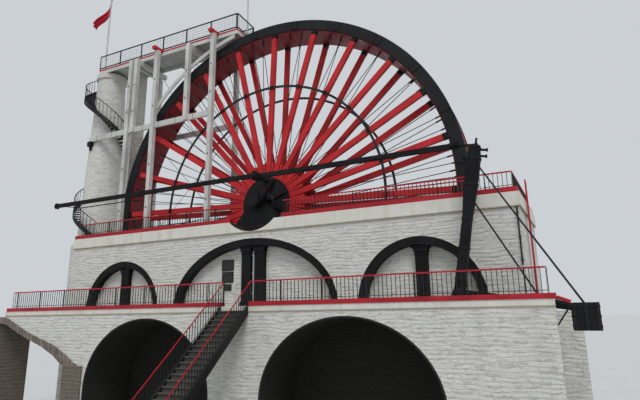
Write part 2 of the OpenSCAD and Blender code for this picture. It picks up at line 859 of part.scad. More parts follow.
// Fences on the wall tops and on the terrace
module upper_fence() {
    z = wall_top + kerb_h;
    h = rail_h - kerb_h;
    x0 = -wall_left + 400;
    e0 = end_x(-fence_y) - kerb_w / 2;
    e1 = end_x(fence_y) - kerb_w / 2;
    color("black") {
        fence([x0, -fence_y], [-crank_throw - crank_pin_r - picket_t, -fence_y], z, h, picket_pitch, picket_t);
        fence([kerb_ends[1] + picket_t, -fence_y], [e0 - picket_t, -fence_y], z, h, picket_pitch, picket_t);
        fence([e0, -fence_y], [e1, fence_y], z, h, picket_pitch, picket_t);
        fence([x0, fence_y], [e1 - picket_t, fence_y], z, h, picket_pitch, picket_t);
    }
}

module pit_fence() {
    y = post_y + post_t / 2 + 250;
    x0 = bearing_w / 2 + 450;
    color("firebrick") for (s = [-1, 1])
        fence([x0, s * y], [pit_end - 200, s * y], wall_top, rail_h + 150, picket_pitch, picket_t);
}

module terrace_fence() {
    z = terrace_h + terrace_kerb_h;
    y = -front_y + kerb_w / 2;
    gap = stair_w / 2 + string_t + hand_t;
    e = terrace_right - kerb_w / 2;
    color("black") {
        fence([-terrace_left + 300, y], [stair_x - gap, y], z, rail_h, picket_pitch, picket_t);
        fence([stair_x + gap, y], [e - picket_t, y], z, rail_h, picket_pitch, picket_t);
        fence([e, y], [e, -rocker_y - arm_slot_w / 2 - picket_t], z, rail_h, picket_pitch, picket_t);
    }
}

// Stair from the ground to the terrace
stair_rise = terrace_h / stair_n;
stair_foot = -front_y - terrace_kerb_out - stair_going * (stair_n - 1);

module stair_treads() {
    color("dimgray") for (k = [1:stair_n - 1])
        block([stair_x - stair_w / 2, stair_foot + (k - 1) * stair_going, k * stair_rise - stair_tread_t],
            [stair_x + stair_w / 2, stair_foot + k * stair_going + 20, k * stair_rise]);
}

// Outline of a string, in Y and Z
module string_shape() {
    s = stair_rise / stair_going;
    run = -front_y - terrace_kerb_out - stair_foot;
    intersection() {
        polygon([[0, stair_rise], [run, stair_rise + run * s], [run, stair_rise + run * s - string_h * 1.4],
            [0, stair_rise - string_h * 1.4]]);
        square([run, 2 * terrace_h]);
    }
}

module stair_strings() {
    color("black") for (x = [stair_x - stair_w / 2 - string_t, stair_x + stair_w / 2])
        translate([x, stair_foot, 0]) rotate([90, 0, 90]) linear_extrude(string_t) string_shape();
}

// Outline between two slopes of the stair, from u0 to u1 along its run
module along_stair(u0, u1, low, high) {
    s = stair_rise / stair_going;
    polygon([[u0, stair_rise + u0 * s + low], [u1, stair_rise + u1 * s + low],
        [u1, stair_rise + u1 * s + high], [u0, stair_rise + u0 * s + high]]);
}

module stair_rails() {
    run = -front_y - terrace_kerb_out - stair_foot;
    n = 40;
    t = picket_t / 2;
    color("firebrick") for (x = [-1, 1] * (stair_w / 2 + string_t / 2))
        translate([stair_x + x - t, stair_foot, 0]) rotate([90, 0, 90]) linear_extrude(picket_t) difference() {
            along_stair(0, run, 0, rail_h);
            for (i = [0:n - 1]) {
                along_stair(run * i / n + t, run * (i + 1) / n - t, low_rail_h + picket_t, rail_h - hand_t);
                along_stair(run * i / n + t, run * (i + 1) / n - t, -string_h, low_rail_h);
            }
        }
}

// Bearings of the axle on the wall tops
module bearing() {
    w = bearing_w / 2;
    r = axle_r + bearing_wall;
    difference() {
        union() {
            upright(-bearing_y - bearing_l, bearing_l)
                polygon([[-w, wall_top], [w, wall_top], [w, wall_top + bearing_foot_h], [r, hub_z], [-r, hub_z],
                    [-w, wall_top + bearing_foot_h]]);
            along_axle(-bearing_y - bearing_l, bearing_l) circle(r = r);
        }
        along_axle(-bearing_y - bearing_l - 1, bearing_l + 2) circle(r = axle_r + run_gap);
    }
}

module bearings() {
    color("darkslategray") for (s = [0, 1]) mirror([0, s, 0]) bearing();
}

module rocker_bearing() {
    t = 90;
    y0 = rocker_t / 2 + 10;
    z0 = terrace_h + pivot_base_h;
    foot = rocker_w * 1.2;
    color("black") translate([rocker_x, -rocker_y, 0]) difference() {
        union() {
            block([-foot, -y0 - t, terrace_h], [foot, y0 + t, z0]);
            for (y = [-y0 - t, y0]) upright(y, t) polygon([[100 - foot, z0], [foot - 100, z0],
                [150, rocker_z + 170], [-150, rocker_z + 170]]);
        }
        translate([0, rocker_t, rocker_z]) rotate([90, 0, 0])
            cylinder(r = rocker_pin_r + run_gap, h = 2 * rocker_t, $fn = 48);
    }
}

// Ladder on the right end, from the buttress to the wall top
ladder_pitch = 290;
ladder_w = 500;

module ladder() {
    y0 = -pit_y + 100;
    x = end_x(y0 + ladder_w) + cornice_out + 60;
    n = floor((wall_top + rail_h - buttress_h) / ladder_pitch) - 1;
    color("firebrick") {
        for (y = [y0, y0 + ladder_w])
            block([x - 30, y - 30, buttress_h], [x + 30, y + 30, wall_top + rail_h]);
        for (k = [1:n]) block([x - 20, y0 + 30, buttress_h + k * ladder_pitch],
            [x + 20, y0 + ladder_w - 30, buttress_h + k * ladder_pitch + 40]);
    }
}

// Rim of the wheel: sole boards and elbow buckets in one toothed outline
bucket_step = 360 / bucket_n;
bucket_r0 = shroud_in;
bucket_r1 = bucket_r0 + shroud_depth * bucket_elbow;
bucket_r2 = wheel_r - 20;
function deg_of(t, r) = t / r * 180 / PI;

// Outline of one bucket, from the sole out and back, at angle a
function bucket(a) = let (lean = 1.9 * bucket_step, b = a + bucket_step * 0.25) [
    polar(bucket_r0, a), polar(bucket_r1, b), polar(bucket_r2, b + lean),
    polar(bucket_r2, b + lean + deg_of(bucket_t * 2.2, bucket_r2)),
    polar(bucket_r1, b + deg_of(bucket_t * 1.3, bucket_r1)),
    polar(bucket_r0, a + deg_of(bucket_t, bucket_r0))];

module bucket_ring() {
    w = wheel_w - 2 * shroud_t;
    color("darkred") difference() {
        along_axle(-w / 2, w) polygon([for (i = [0:bucket_n - 1]) each bucket(i * bucket_step)]);
        translate([0, w, hub_z]) rotate([90, 0, 0]) cylinder(r = sole_in, h = 2 * w, $fn = 180);
    }
}

module shrouds() {
    color("black") for (y = [-half_w, half_w - shroud_t]) along_axle(y, shroud_t) difference() {
        circle(r = wheel_r, $fn = 180);
        circle(r = shroud_in, $fn = 180);
    }
}

module spokes(y) {
    start = hub_r + seat_gap;
    end = sqrt(pow(sole_in, 2) - pow(spoke_w / 2, 2)) - seat_gap;
    for (i = [0:spoke_n - 1]) translate([0, y, hub_z]) rotate([0, -spoke_phase - 360 * i / spoke_n, 0])
        translate([start, -spoke_t / 2, -spoke_w / 2]) cube([end - start, spoke_t, spoke_w]);
}

module front_spokes() {
    color("crimson") spokes(-spoke_y);
}

module rear_spokes() {
    color("crimson") spokes(spoke_y);
}

module tie_rings() {
    seat = spoke_face + seat_gap;
    color("black") for (y = [-seat - mid_ring_t, seat]) along_axle(y, mid_ring_t) difference() {
        circle(r = mid_ring_r + mid_ring_h / 2, $fn = 144);
        circle(r = mid_ring_r - mid_ring_h / 2, $fn = 144);
    }
}

// Cast hub: core with cheeks that hold the spokes' feet
module hub() {
    neck_r = axle_r + 220;
    collar_r = axle_r + 320;
    reach = half_w + 200;
    seat = spoke_face + seat_gap;
    cheek = spoke_face + cheek_t;
    color("black") translate([0, 0, hub_z]) rotate([90, 0, 0]) rotate_extrude($fn = 120)
        polygon([[axle_r, -reach], [neck_r, -reach], [collar_r, -cheek], [cheek_r, -cheek], [cheek_r, -seat],
            [hub_r, -seat], [hub_r, seat], [cheek_r, seat], [cheek_r, cheek], [collar_r, cheek],
            [neck_r, reach], [axle_r, reach]]);
}

// Wedges driven between the spokes just outside the core
function wedge_half(r) = r * tan(180 / spoke_n) - spoke_w / 2 / cos(180 / spoke_n) - seat_gap;

module hub_wedges() {
    r0 = max(hub_r + 40, (spoke_w / 2 / cos(180 / spoke_n) + 20) / tan(180 / spoke_n));
    h0 = wedge_half(r0);
    h1 = wedge_half(wedge_r) * 0.55;
    color("orangered") for (y = [-spoke_y, spoke_y]) for (i = [0:spoke_n - 1])
        along_axle(y - spoke_t / 2, spoke_t) rotate([0, 0, spoke_phase + 360 * (i + 0.5) / spoke_n])
            polygon([[r0, -h0], [wedge_r, -h1], [wedge_r, h1], [r0, h0]]);
}

module axle() {
    color("dimgray") translate([0, bearing_y + bearing_l + 120, hub_z]) rotate([90, 0, 0])
        cylinder(r = axle_r, h = crank_y + crank_t + bearing_y + bearing_l + 120, $fn = 96);
}

// Outline of the crank's web, from its boss to its eye
module crank_shape() {
    turn = acos((crank_boss_r - crank_eye_r) / crank_throw);
    pin = polar(crank_throw, crank_angle);
    circle(r = crank_boss_r);
    translate(pin) circle(r = crank_eye_r);
    polygon([polar(crank_boss_r, crank_angle - turn), pin + polar(crank_eye_r, crank_angle - turn),
        pin + polar(crank_eye_r, crank_angle + turn), polar(crank_boss_r, crank_angle + turn)]);
}

// Crank with its boss, pin and collar
module crank() {
    pin_l = rod_y + 2 * rod_t + rod_gap + 20 - crank_y - crank_t;
    y1 = -crank_y - crank_t;
    color("black") {
        difference() {
            union() {
                along_axle(y1, crank_t) crank_shape();
                along_axle(y1 - crank_boss_h, crank_boss_h) circle(r = axle_r + bearing_wall);
            }
            along_axle(y1, crank_y + crank_t) circle(r = axle_r);
        }
        along_axle(y1 - pin_l, pin_l) translate([pin_x, pin_z - hub_z]) circle(r = crank_pin_r);
        along_axle(y1 - pin_l - 40, 40) translate([pin_x, pin_z - hub_z]) circle(r = crank_pin_r * 1.5);
    }
}

// Outline of a rod from its eye: s is -1 to the left and 1 to the right
module rod_shape(reach, s) {
    difference() {
        union() {
            circle(r = crank_pin_r * 2.2);
            translate([s < 0 ? -reach : 0, -rod_h / 2]) square([reach, rod_h]);
            translate([s * reach, 0]) circle(r = rod_h * 0.8);
        }
        circle(r = crank_pin_r + run_gap);
        translate([s * reach, 0]) circle(r = rod_h * 0.35, $fn = 48);
    }
}

// Outline of the truss under the left rod, drawn in by inset
module truss_shape(reach, inset) {
    low = -truss_depth - rod_h / 2 + inset / 5;
    polygon([[inset - reach * 0.45 - 2 * inset, 0], [-reach * 0.62 - inset / 10, low],
        [-reach * 0.85 + inset / 10, low], [-reach + inset, 0]]);
}

module left_rod() {
    y = -rod_y - 2 * rod_t - rod_gap;
    reach = left_rod_reach + pin_x;
    color("black") translate([pin_x, y + rod_t, pin_z]) rotate([90, 0, 0]) {
        linear_extrude(rod_t) rod_shape(reach, -1);
        translate([0, 0, rod_t / 3]) linear_extrude(rod_t / 3) difference() {
            truss_shape(reach, 0);
            truss_shape(reach, 220);
        }
    }
}

module right_rod() {
    y = -rod_y - rod_t;
    color("black") translate([pin_x, y + rod_t, pin_z]) rotate([90, 0, 0])
        linear_extrude(rod_t) rod_shape(right_rod_reach - pin_x, 1);
}

// Rocking post, its arm, stays and counterweight turn about one pin
module on_pivot() {
    translate([rocker_x, -rocker_y, rocker_z]) children();
}

// Shares of the post's length, with its half width there in halves of its foot's width
post_shape = [[0, 1], [0.5, 0.9], [0.72, 1.3], [0.94, 1.3], [1, 1]];

// Half of the post's width at a share of its length
function post_half(q) = rocker_w / 2 * lookup(q, post_shape);

module rocking_post() {
    pin_half = rocker_t / 2 + 110;
    color("black") on_pivot() {
        upright(-rocker_t / 2, rocker_t) {
            rotate(-rocker_lean) polygon(concat([for (q = post_shape) [post_half(q[0]), q[0] * rocker_l]],
                [for (q = reversed(post_shape)) [-post_half(q[0]), q[0] * rocker_l]],
                [[-rocker_w / 2, -60], [rocker_w / 2, -60]]));
            circle(r = rocker_w / 2);
        }
        upright(-pin_half, 2 * pin_half) circle(r = rocker_pin_r, $fn = 48);
    }
}

// Height of the arm's top (side 1) or bottom (side -1) at x, from the pivot
function arm_z(x, side) = side * arm_h / 2 / cos(arm_slope) - x * tan(arm_slope);

// Place at a height along the post's right edge, in X and Z from the pivot
function on_edge(l, half) = l * [sin(rocker_lean), cos(rocker_lean)]
    + (half + seat_gap) * [cos(rocker_lean), -sin(rocker_lean)];

// Corner of the arm on the post's edge
function arm_foot(side) = let (w = rocker_w / 2 + seat_gap, t = tan(arm_slope),
    l = w * (sin(rocker_lean) - cos(rocker_lean) * t) + side * arm_h / 2 / cos(arm_slope))
    on_edge(l / (cos(rocker_lean) + sin(rocker_lean) * t), rocker_w / 2);

module rocking_arm() {
    x1 = weight_x - seat_gap;
    t = rocker_t - 80;
    color("black") on_pivot() upright(-t / 2, t)
        polygon([arm_foot(-1), [x1, arm_z(x1, -1)], [x1, arm_z(x1, 1)], arm_foot(1)]);
}

// A stay from the post's edge at share q down to the arm or the counterweight at x
function stay_seat(x) = [x, seat_gap + arm_z(min(x, weight_x), 1)];

module stay(q, x) {
    q0 = q - stay_w * 1.4 / rocker_l;
    polygon([on_edge(q * rocker_l, post_half(q)), on_edge(q0 * rocker_l, post_half(q0)),
        stay_seat(x), stay_seat(x + stay_w * 1.2)]);
}

module rocker_stays() {
    color("dimgray") on_pivot() upright(-stay_w / 2, stay_w) {
        stay(0.87, arm_l - 60);
        stay(0.62, arm_l * 0.665);
    }
}

module counterweight() {
    z1 = arm_z(weight_x, 1);
    color("black") on_pivot()
        block([weight_x, -weight_w / 2, z1 - weight_h], [weight_x + weight_l, weight_w / 2, z1]);
}

pit_floor();
front_wall();
rear_wall();
left_end_wall();
right_end_wall();
tower_base();
terrace_wall();
terrace_end();
side_piers();
side_arch_ring();
cornice();
upper_kerb();
terrace_band();
terrace_kerb();
arch_bands();
columns();
end_buttress();
feed_pier();
tower();
tower_cap();
winding_steps();
winding_string();
winding_rail();
winding_balusters();
front_posts();
rear_posts();
long_beams();
low_heads();
cross_heads();
deck();
deck_fascia();
deck_trim();
deck_railing();
apron_board();
flagpoles();
flag();
upper_fence();
pit_fence();
terrace_fence();
stair_treads();
stair_strings();
stair_rails();
bearings();
rocker_bearing();
ladder();
bucket_ring();
shrouds();
front_spokes();
rear_spokes();
tie_rings();
hub();
hub_wedges();
axle();
crank();
left_rod();
right_rod();
rocking_post();
rocking_arm();
rocker_stays();
counterweight();
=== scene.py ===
"""Looks of the water wheel plant: materials, small fittings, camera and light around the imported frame."""

import json
import math

import bpy
import numpy as np
from mathutils import Matrix, Vector


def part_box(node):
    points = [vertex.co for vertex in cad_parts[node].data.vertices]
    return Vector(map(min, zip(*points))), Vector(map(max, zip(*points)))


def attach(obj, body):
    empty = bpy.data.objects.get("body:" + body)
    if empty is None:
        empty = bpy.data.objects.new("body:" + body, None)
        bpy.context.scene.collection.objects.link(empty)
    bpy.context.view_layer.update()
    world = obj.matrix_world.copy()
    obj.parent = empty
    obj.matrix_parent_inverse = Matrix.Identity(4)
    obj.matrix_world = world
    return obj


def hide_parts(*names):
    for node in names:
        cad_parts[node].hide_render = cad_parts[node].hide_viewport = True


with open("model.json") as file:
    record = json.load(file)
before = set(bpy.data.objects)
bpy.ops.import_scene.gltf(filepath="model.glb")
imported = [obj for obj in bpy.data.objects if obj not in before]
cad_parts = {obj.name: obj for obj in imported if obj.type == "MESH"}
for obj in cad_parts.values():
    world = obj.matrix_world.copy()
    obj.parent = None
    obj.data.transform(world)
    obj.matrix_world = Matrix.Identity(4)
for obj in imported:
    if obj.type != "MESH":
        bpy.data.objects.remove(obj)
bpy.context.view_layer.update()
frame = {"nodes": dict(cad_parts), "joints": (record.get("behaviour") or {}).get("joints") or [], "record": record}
PLACES = {joint["name"]: np.array(joint["pos_m"]) for joint in frame["joints"]}
HUB_Z = PLACES["wheel_spin"][2]
PIN = PLACES["rod_swing"]
PIVOT = PLACES["post_rock"]
FRONT = (0, -1, 0)
UP = (0, 0, 1)


def corners(node):
    """Lowest and highest corner of a CAD node as arrays."""
    low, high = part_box(node)
    return np.array(low), np.array(high)


# Camera, from the wheel's two rims in the photo: its place, then its turn to the left, tilt up and lean
CAMERA_PLACE = (14.09, -23.72, HUB_Z - 6.055)
CAMERA_TURN = math.radians(25.297)
CAMERA_TILT = math.radians(13.13)
CAMERA_LEAN = math.radians(-0.858)
CAMERA_LENS = 27.52


def make_camera():
    """Camera whose view along Y is leaned about itself, tilted up about X, turned about Z and moved into place."""
    camera = bpy.data.objects.new("camera", bpy.data.cameras.new("camera"))
    bpy.context.scene.collection.objects.link(camera)
    camera.matrix_world = (Matrix.Translation(CAMERA_PLACE) @ Matrix.Rotation(CAMERA_TURN, 4, "Z")
                           @ Matrix.Rotation(math.pi / 2 + CAMERA_TILT, 4, "X")
                           @ Matrix.Rotation(CAMERA_LEAN, 4, "Z"))
    camera.data.lens = CAMERA_LENS
    camera.data.clip_end = 2000.0
    bpy.context.scene.camera = camera


MATERIALS = {}


class Shader:
    """A material in the making, listed by its name: most methods add a node and return its output socket."""

    def __init__(self, name, rough=0.6, metal=0.0, specular=0.4):
        MATERIALS[name] = self.material = bpy.data.materials.new(name)
        self.material.use_nodes = True
        self.tree = self.material.node_tree
        self.surface = self.tree.nodes["Principled BSDF"]
        self.feed(self.surface, {"Roughness": rough, "Metallic": metal, "Specular IOR Level": specular})
        self.place = self.tree.nodes.new("ShaderNodeTexCoord").outputs["Object"]

    def feed(self, node, inputs):
        """Links each socket to an input or sets the input to a plain value; a plain colour is made opaque."""
        for key, value in inputs.items():
            gate = node.inputs[key]
            if isinstance(value, bpy.types.NodeSocket):
                self.tree.links.new(value, gate)
            elif value is not None:
                gate.default_value = (*value, 1) if gate.type == "RGBA" else value
        return node

    def node(self, kind, inputs, **settings):
        made = self.tree.nodes.new(kind)
        for key, value in settings.items():
            setattr(made, key, value)
        return self.feed(made, inputs)

    def math(self, operation, a, b=0.0):
        return self.node("ShaderNodeMath", {0: a, 1: b}, operation=operation).outputs[0]

    def add(self, a, b):
        return self.math("ADD", a, b)

    def less(self, a, b):
        return self.math("SUBTRACT", a, b)

    def times(self, a, b):
        return self.math("MULTIPLY", a, b)

    def length(self, a, b):
        return self.math("SQRT", self.add(self.times(a, a), self.times(b, b)))

    def off_middle(self, turn):
        """How far a number lies from the middle of its whole step: nil halfway and a half at each end."""
        return self.math("ABSOLUTE", self.less(self.math("FRACT", turn), 0.5))

    def own_shade(self, turn):
        """A random number for each whole step."""
        return self.split(self.node("ShaderNodeTexWhiteNoise", {"W": self.math("FLOOR", turn)},
                                    noise_dimensions="1D").outputs["Color"])[0]

    def split(self, vector=None):
        return self.node("ShaderNodeSeparateXYZ", {0: vector or self.place}).outputs

    def join(self, x, y, z):
        return self.node("ShaderNodeCombineXYZ", {0: x, 1: y, 2: z}).outputs[0]

    def scaled(self, scale):
        return self.node("ShaderNodeMapping", {"Vector": self.place, "Scale": scale}).outputs[0]

    def noise(self, scale, detail=3.0, vector=None, rough=0.55):
        return self.node("ShaderNodeTexNoise", {"Vector": vector or self.place, "Scale": scale,
                                                "Detail": detail, "Roughness": rough}).outputs[0]

    def cells_in_row(self, place, feature="F1", output="Distance"):
        return self.node("ShaderNodeTexVoronoi", {"W": place, "Scale": 1.0, "Randomness": 0.85},
                         voronoi_dimensions="1D", feature=feature).outputs[output]

    def ramp(self, value, stops):
        made = self.node("ShaderNodeValToRGB", {0: value})
        points = made.color_ramp.elements
        while len(points) < len(stops):
            points.new(0.5)
        for point, (spot, level) in zip(points, stops):
            point.position = spot
            point.color = (*level, 1) if isinstance(level, tuple) else (level, level, level, 1)
        return made.outputs[0]

    def mix(self, share, a, b):
        return self.node("ShaderNodeMix", {0: share, 6: a, 7: b}, data_type="RGBA").outputs[2]

    def bump(self, height, depth, strength=1.0):
        return self.node("ShaderNodeBump", {"Height": height, "Distance": depth, "Strength": strength}).outputs[0]

    def finish(self, color, rough=None, normal=None):
        self.feed(self.surface, {"Base Color": color, "Roughness": rough, "Normal": normal})


def dimmed(color, share):
    return tuple(share * v for v in color)


# Near-black insides, partly dark stone and black paint and partly painted shade: the terrace's two vaults and the
# round notch behind the crank
DARK_AND_SHADED_INSIDE = (0.010, 0.009, 0.008)
VAULT_MIDDLES = (-4.41, 6.19)
VAULT_HALF = 3.9
VAULT_SPRING = 2.0
VAULT_RISE = 3.39
VAULT_RIM = 1.045
NOTCH_X = 0.42
NOTCH_R = 1.905
NOTCH_FRONT = -3.06
NOTCH_BACK = -1.88


def vault_shade_mask(s):
    """Mask of the painted shade: one inside the vaults and on a thin rim round their mouths, half an ellipse over
    straight sides.
    """
    x, _, z = s.split()
    high = s.math("DIVIDE", s.math("MAXIMUM", s.less(z, VAULT_SPRING), 0.0), VAULT_RISE)
    ovals = []
    for middle in VAULT_MIDDLES:
        out = s.math("DIVIDE", s.less(x, middle), VAULT_HALF)
        ovals.append(s.add(s.times(out, out), s.times(high, high)))
    return s.math("LESS_THAN", s.math("MINIMUM", *ovals), VAULT_RIM)


def stone_joints(s, along, course, stone):
    """Rough courses: warped height over the course gives the row, and a line of uneven cells its stones.
    Returns the distance to the nearest joint in metres and each stone's own shade."""
    z = s.split()[2]
    wave = s.times(s.less(s.noise(0.55, 2.0), 0.5), 0.3)
    rise = s.math("DIVIDE", s.add(z, wave), course)
    bed = s.times(s.less(0.5, s.off_middle(rise)), course)
    place = s.add(s.math("DIVIDE", along, stone), s.times(s.math("FLOOR", rise), 7.31))
    head = s.times(s.cells_in_row(place, "DISTANCE_TO_EDGE"), stone)
    tint = s.split(s.cells_in_row(place, output="Color"))[0]
    return s.math("MINIMUM", bed, head), tint


def notch_shade_mask(s):
    """Mask of the painted shade: one on the crank's round notch, within its radius about its centre in X and Z,
    behind the wall's face.
    """
    x, y, z = s.split()
    out = s.length(s.less(x, NOTCH_X), s.less(z, HUB_Z))
    deep = s.times(s.math("GREATER_THAN", y, NOTCH_FRONT), s.math("LESS_THAN", y, NOTCH_BACK))
    return s.times(s.math("LESS_THAN", out, NOTCH_R), deep)


def masonry(name, wash, joint, course=0.16, stone=0.62, relief=0.055, axis=None, shaded_mouths=False, fill=0.12):
    """Lime-washed rubble: rough courses of long thin stones, ledges with thin painted shadow lines under them, rain
    streaks.
    The axis of a round wall is its X, its Y and its radius."""
    s = Shader(name, rough=0.9, specular=0.15)
    x, y, z = s.split()
    along = s.times(s.math("ARCTAN2", s.less(y, axis[1]), s.less(x, axis[0])), axis[2]) if axis else s.add(x, y)
    gap, tint = stone_joints(s, along, course, stone)
    ragged = s.add(gap, s.times(s.less(s.noise(9.0, 3.0), 0.5), 0.035))
    face = s.ramp(ragged, [(0.0, 0.0), (0.018, 0.6), (0.05, 1.0)])
    bent = s.add(z, s.times(s.less(s.noise(1.1, 2.0), 0.5), 0.25))
    stretched = s.join(s.times(along, 1.9), s.times(s.less(x, y), 0.2), s.times(bent, 8.5))
    ledge = s.noise(1.0, 5.0, stretched, rough=0.6)
    # Thin dark lines painted as the shadows under the ledges; the ledges' relief itself comes from the bump
    ledge_shadow = s.ramp(ledge, [(0.36, 0.5), (0.395, 0.35), (0.425, 1.0), (0.45, 0.0), (0.54, 0.0), (0.56, 0.6),
                         (0.58, 0.0)])
    grain = s.noise(24.0, 4.0)
    stain = s.noise(1.0, 4.0, s.scaled((0.9, 0.9, 0.16)))
    shade = s.mix(s.times(tint, 0.22), wash, dimmed(wash, 0.72))
    shade = s.mix(s.times(s.less(1.0, face), fill), shade, joint)
    shade = s.mix(s.times(ledge_shadow, 0.5), shade, dimmed(joint, 0.6))
    shade = s.mix(s.ramp(stain, [(0.54, 0.0), (0.82, 0.24)]), shade, dimmed(joint, 0.75))
    height = s.add(s.times(face, 0.3), s.add(s.times(ledge, 1.25), s.times(grain, 0.07)))
    # Inside the vaults and the notch the wash gives way to near-black: their dark stone and black paint, darkened
    # further as painted shade
    if shaded_mouths:
        dark = s.math("MAXIMUM", vault_shade_mask(s), notch_shade_mask(s))
        shade = s.mix(s.times(dark, 0.97), shade, DARK_AND_SHADED_INSIDE)
    s.finish(shade, normal=s.bump(height, relief, 0.9))


def voussoirs(name, light, dark, pitch):
    """Cut stones side by side in a ring: a joint at every pitch along X, mottled faces, worn arrises."""
    s = Shader(name, rough=0.9, specular=0.15)
    x, _, z = s.split()
    turn = s.math("DIVIDE", s.add(x, s.times(z, 0.3)), pitch)
    joint = s.ramp(s.off_middle(turn), [(0.42, 0.0), (0.49, 1.0)])
    coarse, fine = s.noise(2.4, 4.0), s.noise(20.0, 4.0)
    shade = s.mix(s.add(s.times(s.own_shade(turn), 0.5), s.ramp(coarse, [(0.35, 0.0), (0.75, 0.5)])), dark, light)
    shade = s.mix(s.ramp(fine, [(0.55, 0.0), (0.75, 0.35)]), shade, dimmed(light, 1.4))
    shade = s.mix(s.times(joint, 0.8), shade, dimmed(dark, 0.4))
    height = s.add(s.less(s.times(fine, 0.3), joint), s.times(coarse, 0.5))
    s.finish(shade, normal=s.bump(height, 0.03))


def paint(name, color, worn, rough=0.45, wear=0.62, grain=None, relief=0.004, metal=0.0, specular=0.4, cap=None):
    """Weathered paint: cloudy fading, chipped spots over what is under it, and grain lines along timber.
    Cap is a second colour and the rule that says where it shows."""
    s = Shader(name, rough=rough, metal=metal, specular=specular)
    cloud = s.noise(0.8, 3.0)
    chips = s.noise(7.0, 6.0, rough=0.7)
    base = s.mix(cap[1](s), color, cap[0]) if cap else color
    shade = s.mix(s.ramp(cloud, [(0.3, 0.0), (0.75, 0.4)]), base, (0.0, 0.0, 0.0))
    shade = s.mix(s.ramp(chips, [(wear, 0.0), (wear + 0.06, 0.85)]), shade, worn)
    height = s.times(s.ramp(chips, [(wear - 0.02, 1.0), (wear + 0.06, 0.0)]), 0.6)
    if grain:
        lines = s.noise(1.0, 4.0, grain(s))
        shade = s.mix(s.ramp(lines, [(0.4, 0.0), (0.75, 0.35)]), shade, worn)
        height = s.add(height, s.times(lines, 0.8))
    gloss = s.ramp(cloud, [(0.3, rough), (0.7, min(1.0, rough + 0.25))])
    s.finish(shade, rough=gloss, normal=s.bump(height, relief))


def upright_grain(s):
    return s.scaled((16.0, 16.0, 1.2))


def level_grain(s):
    return s.scaled((1.2, 16.0, 16.0))


def radial_grain(s):
    """Long across the angle about the axle, short along the radius."""
    x, y, z = s.split()
    up = s.less(z, HUB_Z)
    return s.join(s.times(s.math("ARCTAN2", up, x), 110.0), s.times(s.length(x, up), 0.9), s.times(y, 14.0))


def above(height):
    """Rule for a hand rail's colour: all that stands higher than a level."""
    return lambda s: s.math("GREATER_THAN", s.split()[2], height)


# Stair: Y of its foot, rise over going, and height of its hand rail's top over the foot
STAIR_FOOT = -11.875
STAIR_SLOPE = 0.84397
STAIR_RAIL_Z = 1.128


def on_stair_rail(s):
    """Rule for the stair's hand rail: all above a slope just under it."""
    _, y, z = s.split()
    lift = s.times(s.less(y, STAIR_FOOT), STAIR_SLOPE)
    return s.math("GREATER_THAN", s.less(z, lift), STAIR_RAIL_Z - 0.067)


def wheel_boards(name, color, worn, count):
    """Boards across the rim: a joint at every board's edge, worked out from the angle about the axle."""
    s = Shader(name, rough=0.6)
    x, y, z = s.split()
    angle = s.math("ARCTAN2", s.less(z, HUB_Z), x)
    turn = s.times(angle, count / (2 * math.pi))
    joint = s.ramp(s.off_middle(turn), [(0.44, 0.0), (0.49, 1.0)])
    board = s.noise(3.1, 0.0, s.join(s.math("FLOOR", turn), 0.0, 0.0))
    cloud = s.noise(1.2, 4.0)
    wet = s.noise(1.0, 4.0, s.join(s.times(turn, 0.6), s.times(y, 0.8), 0.0))
    shade = s.mix(s.ramp(board, [(0.3, 0.0), (0.7, 0.55)]), color, dimmed(color, 0.5))
    shade = s.mix(s.ramp(cloud, [(0.5, 0.0), (0.75, 0.7)]), shade, worn)
    shade = s.mix(s.ramp(wet, [(0.5, 0.0), (0.7, 0.5)]), shade, dimmed(color, 0.3))
    shade = s.mix(joint, shade, (0.012, 0.006, 0.006))
    gloss = s.ramp(wet, [(0.4, 0.65), (0.7, 0.35)])
    s.finish(shade, rough=gloss, normal=s.bump(s.less(1.0, joint), 0.02))


def planks(name, color, worn, pitch):
    """Boards side by side along X, each with its own shade, with dark joints and level grain."""
    s = Shader(name, rough=0.8, specular=0.2)
    turn = s.math("DIVIDE", s.split()[0], pitch)
    joint = s.ramp(s.off_middle(turn), [(0.45, 0.0), (0.49, 1.0)])
    lines = s.noise(1.0, 4.0, s.scaled((18.0, 1.5, 18.0)))
    cloud = s.noise(1.1, 4.0)
    shade = s.mix(s.times(s.own_shade(turn), 0.6), color, worn)
    shade = s.mix(s.ramp(lines, [(0.4, 0.0), (0.75, 0.5)]), shade, worn)
    shade = s.mix(s.ramp(cloud, [(0.5, 0.0), (0.8, 0.5)]), shade, dimmed(worn, 0.6))
    shade = s.mix(joint, shade, dimmed(worn, 0.2))
    s.finish(shade, normal=s.bump(s.less(lines, joint), 0.01))


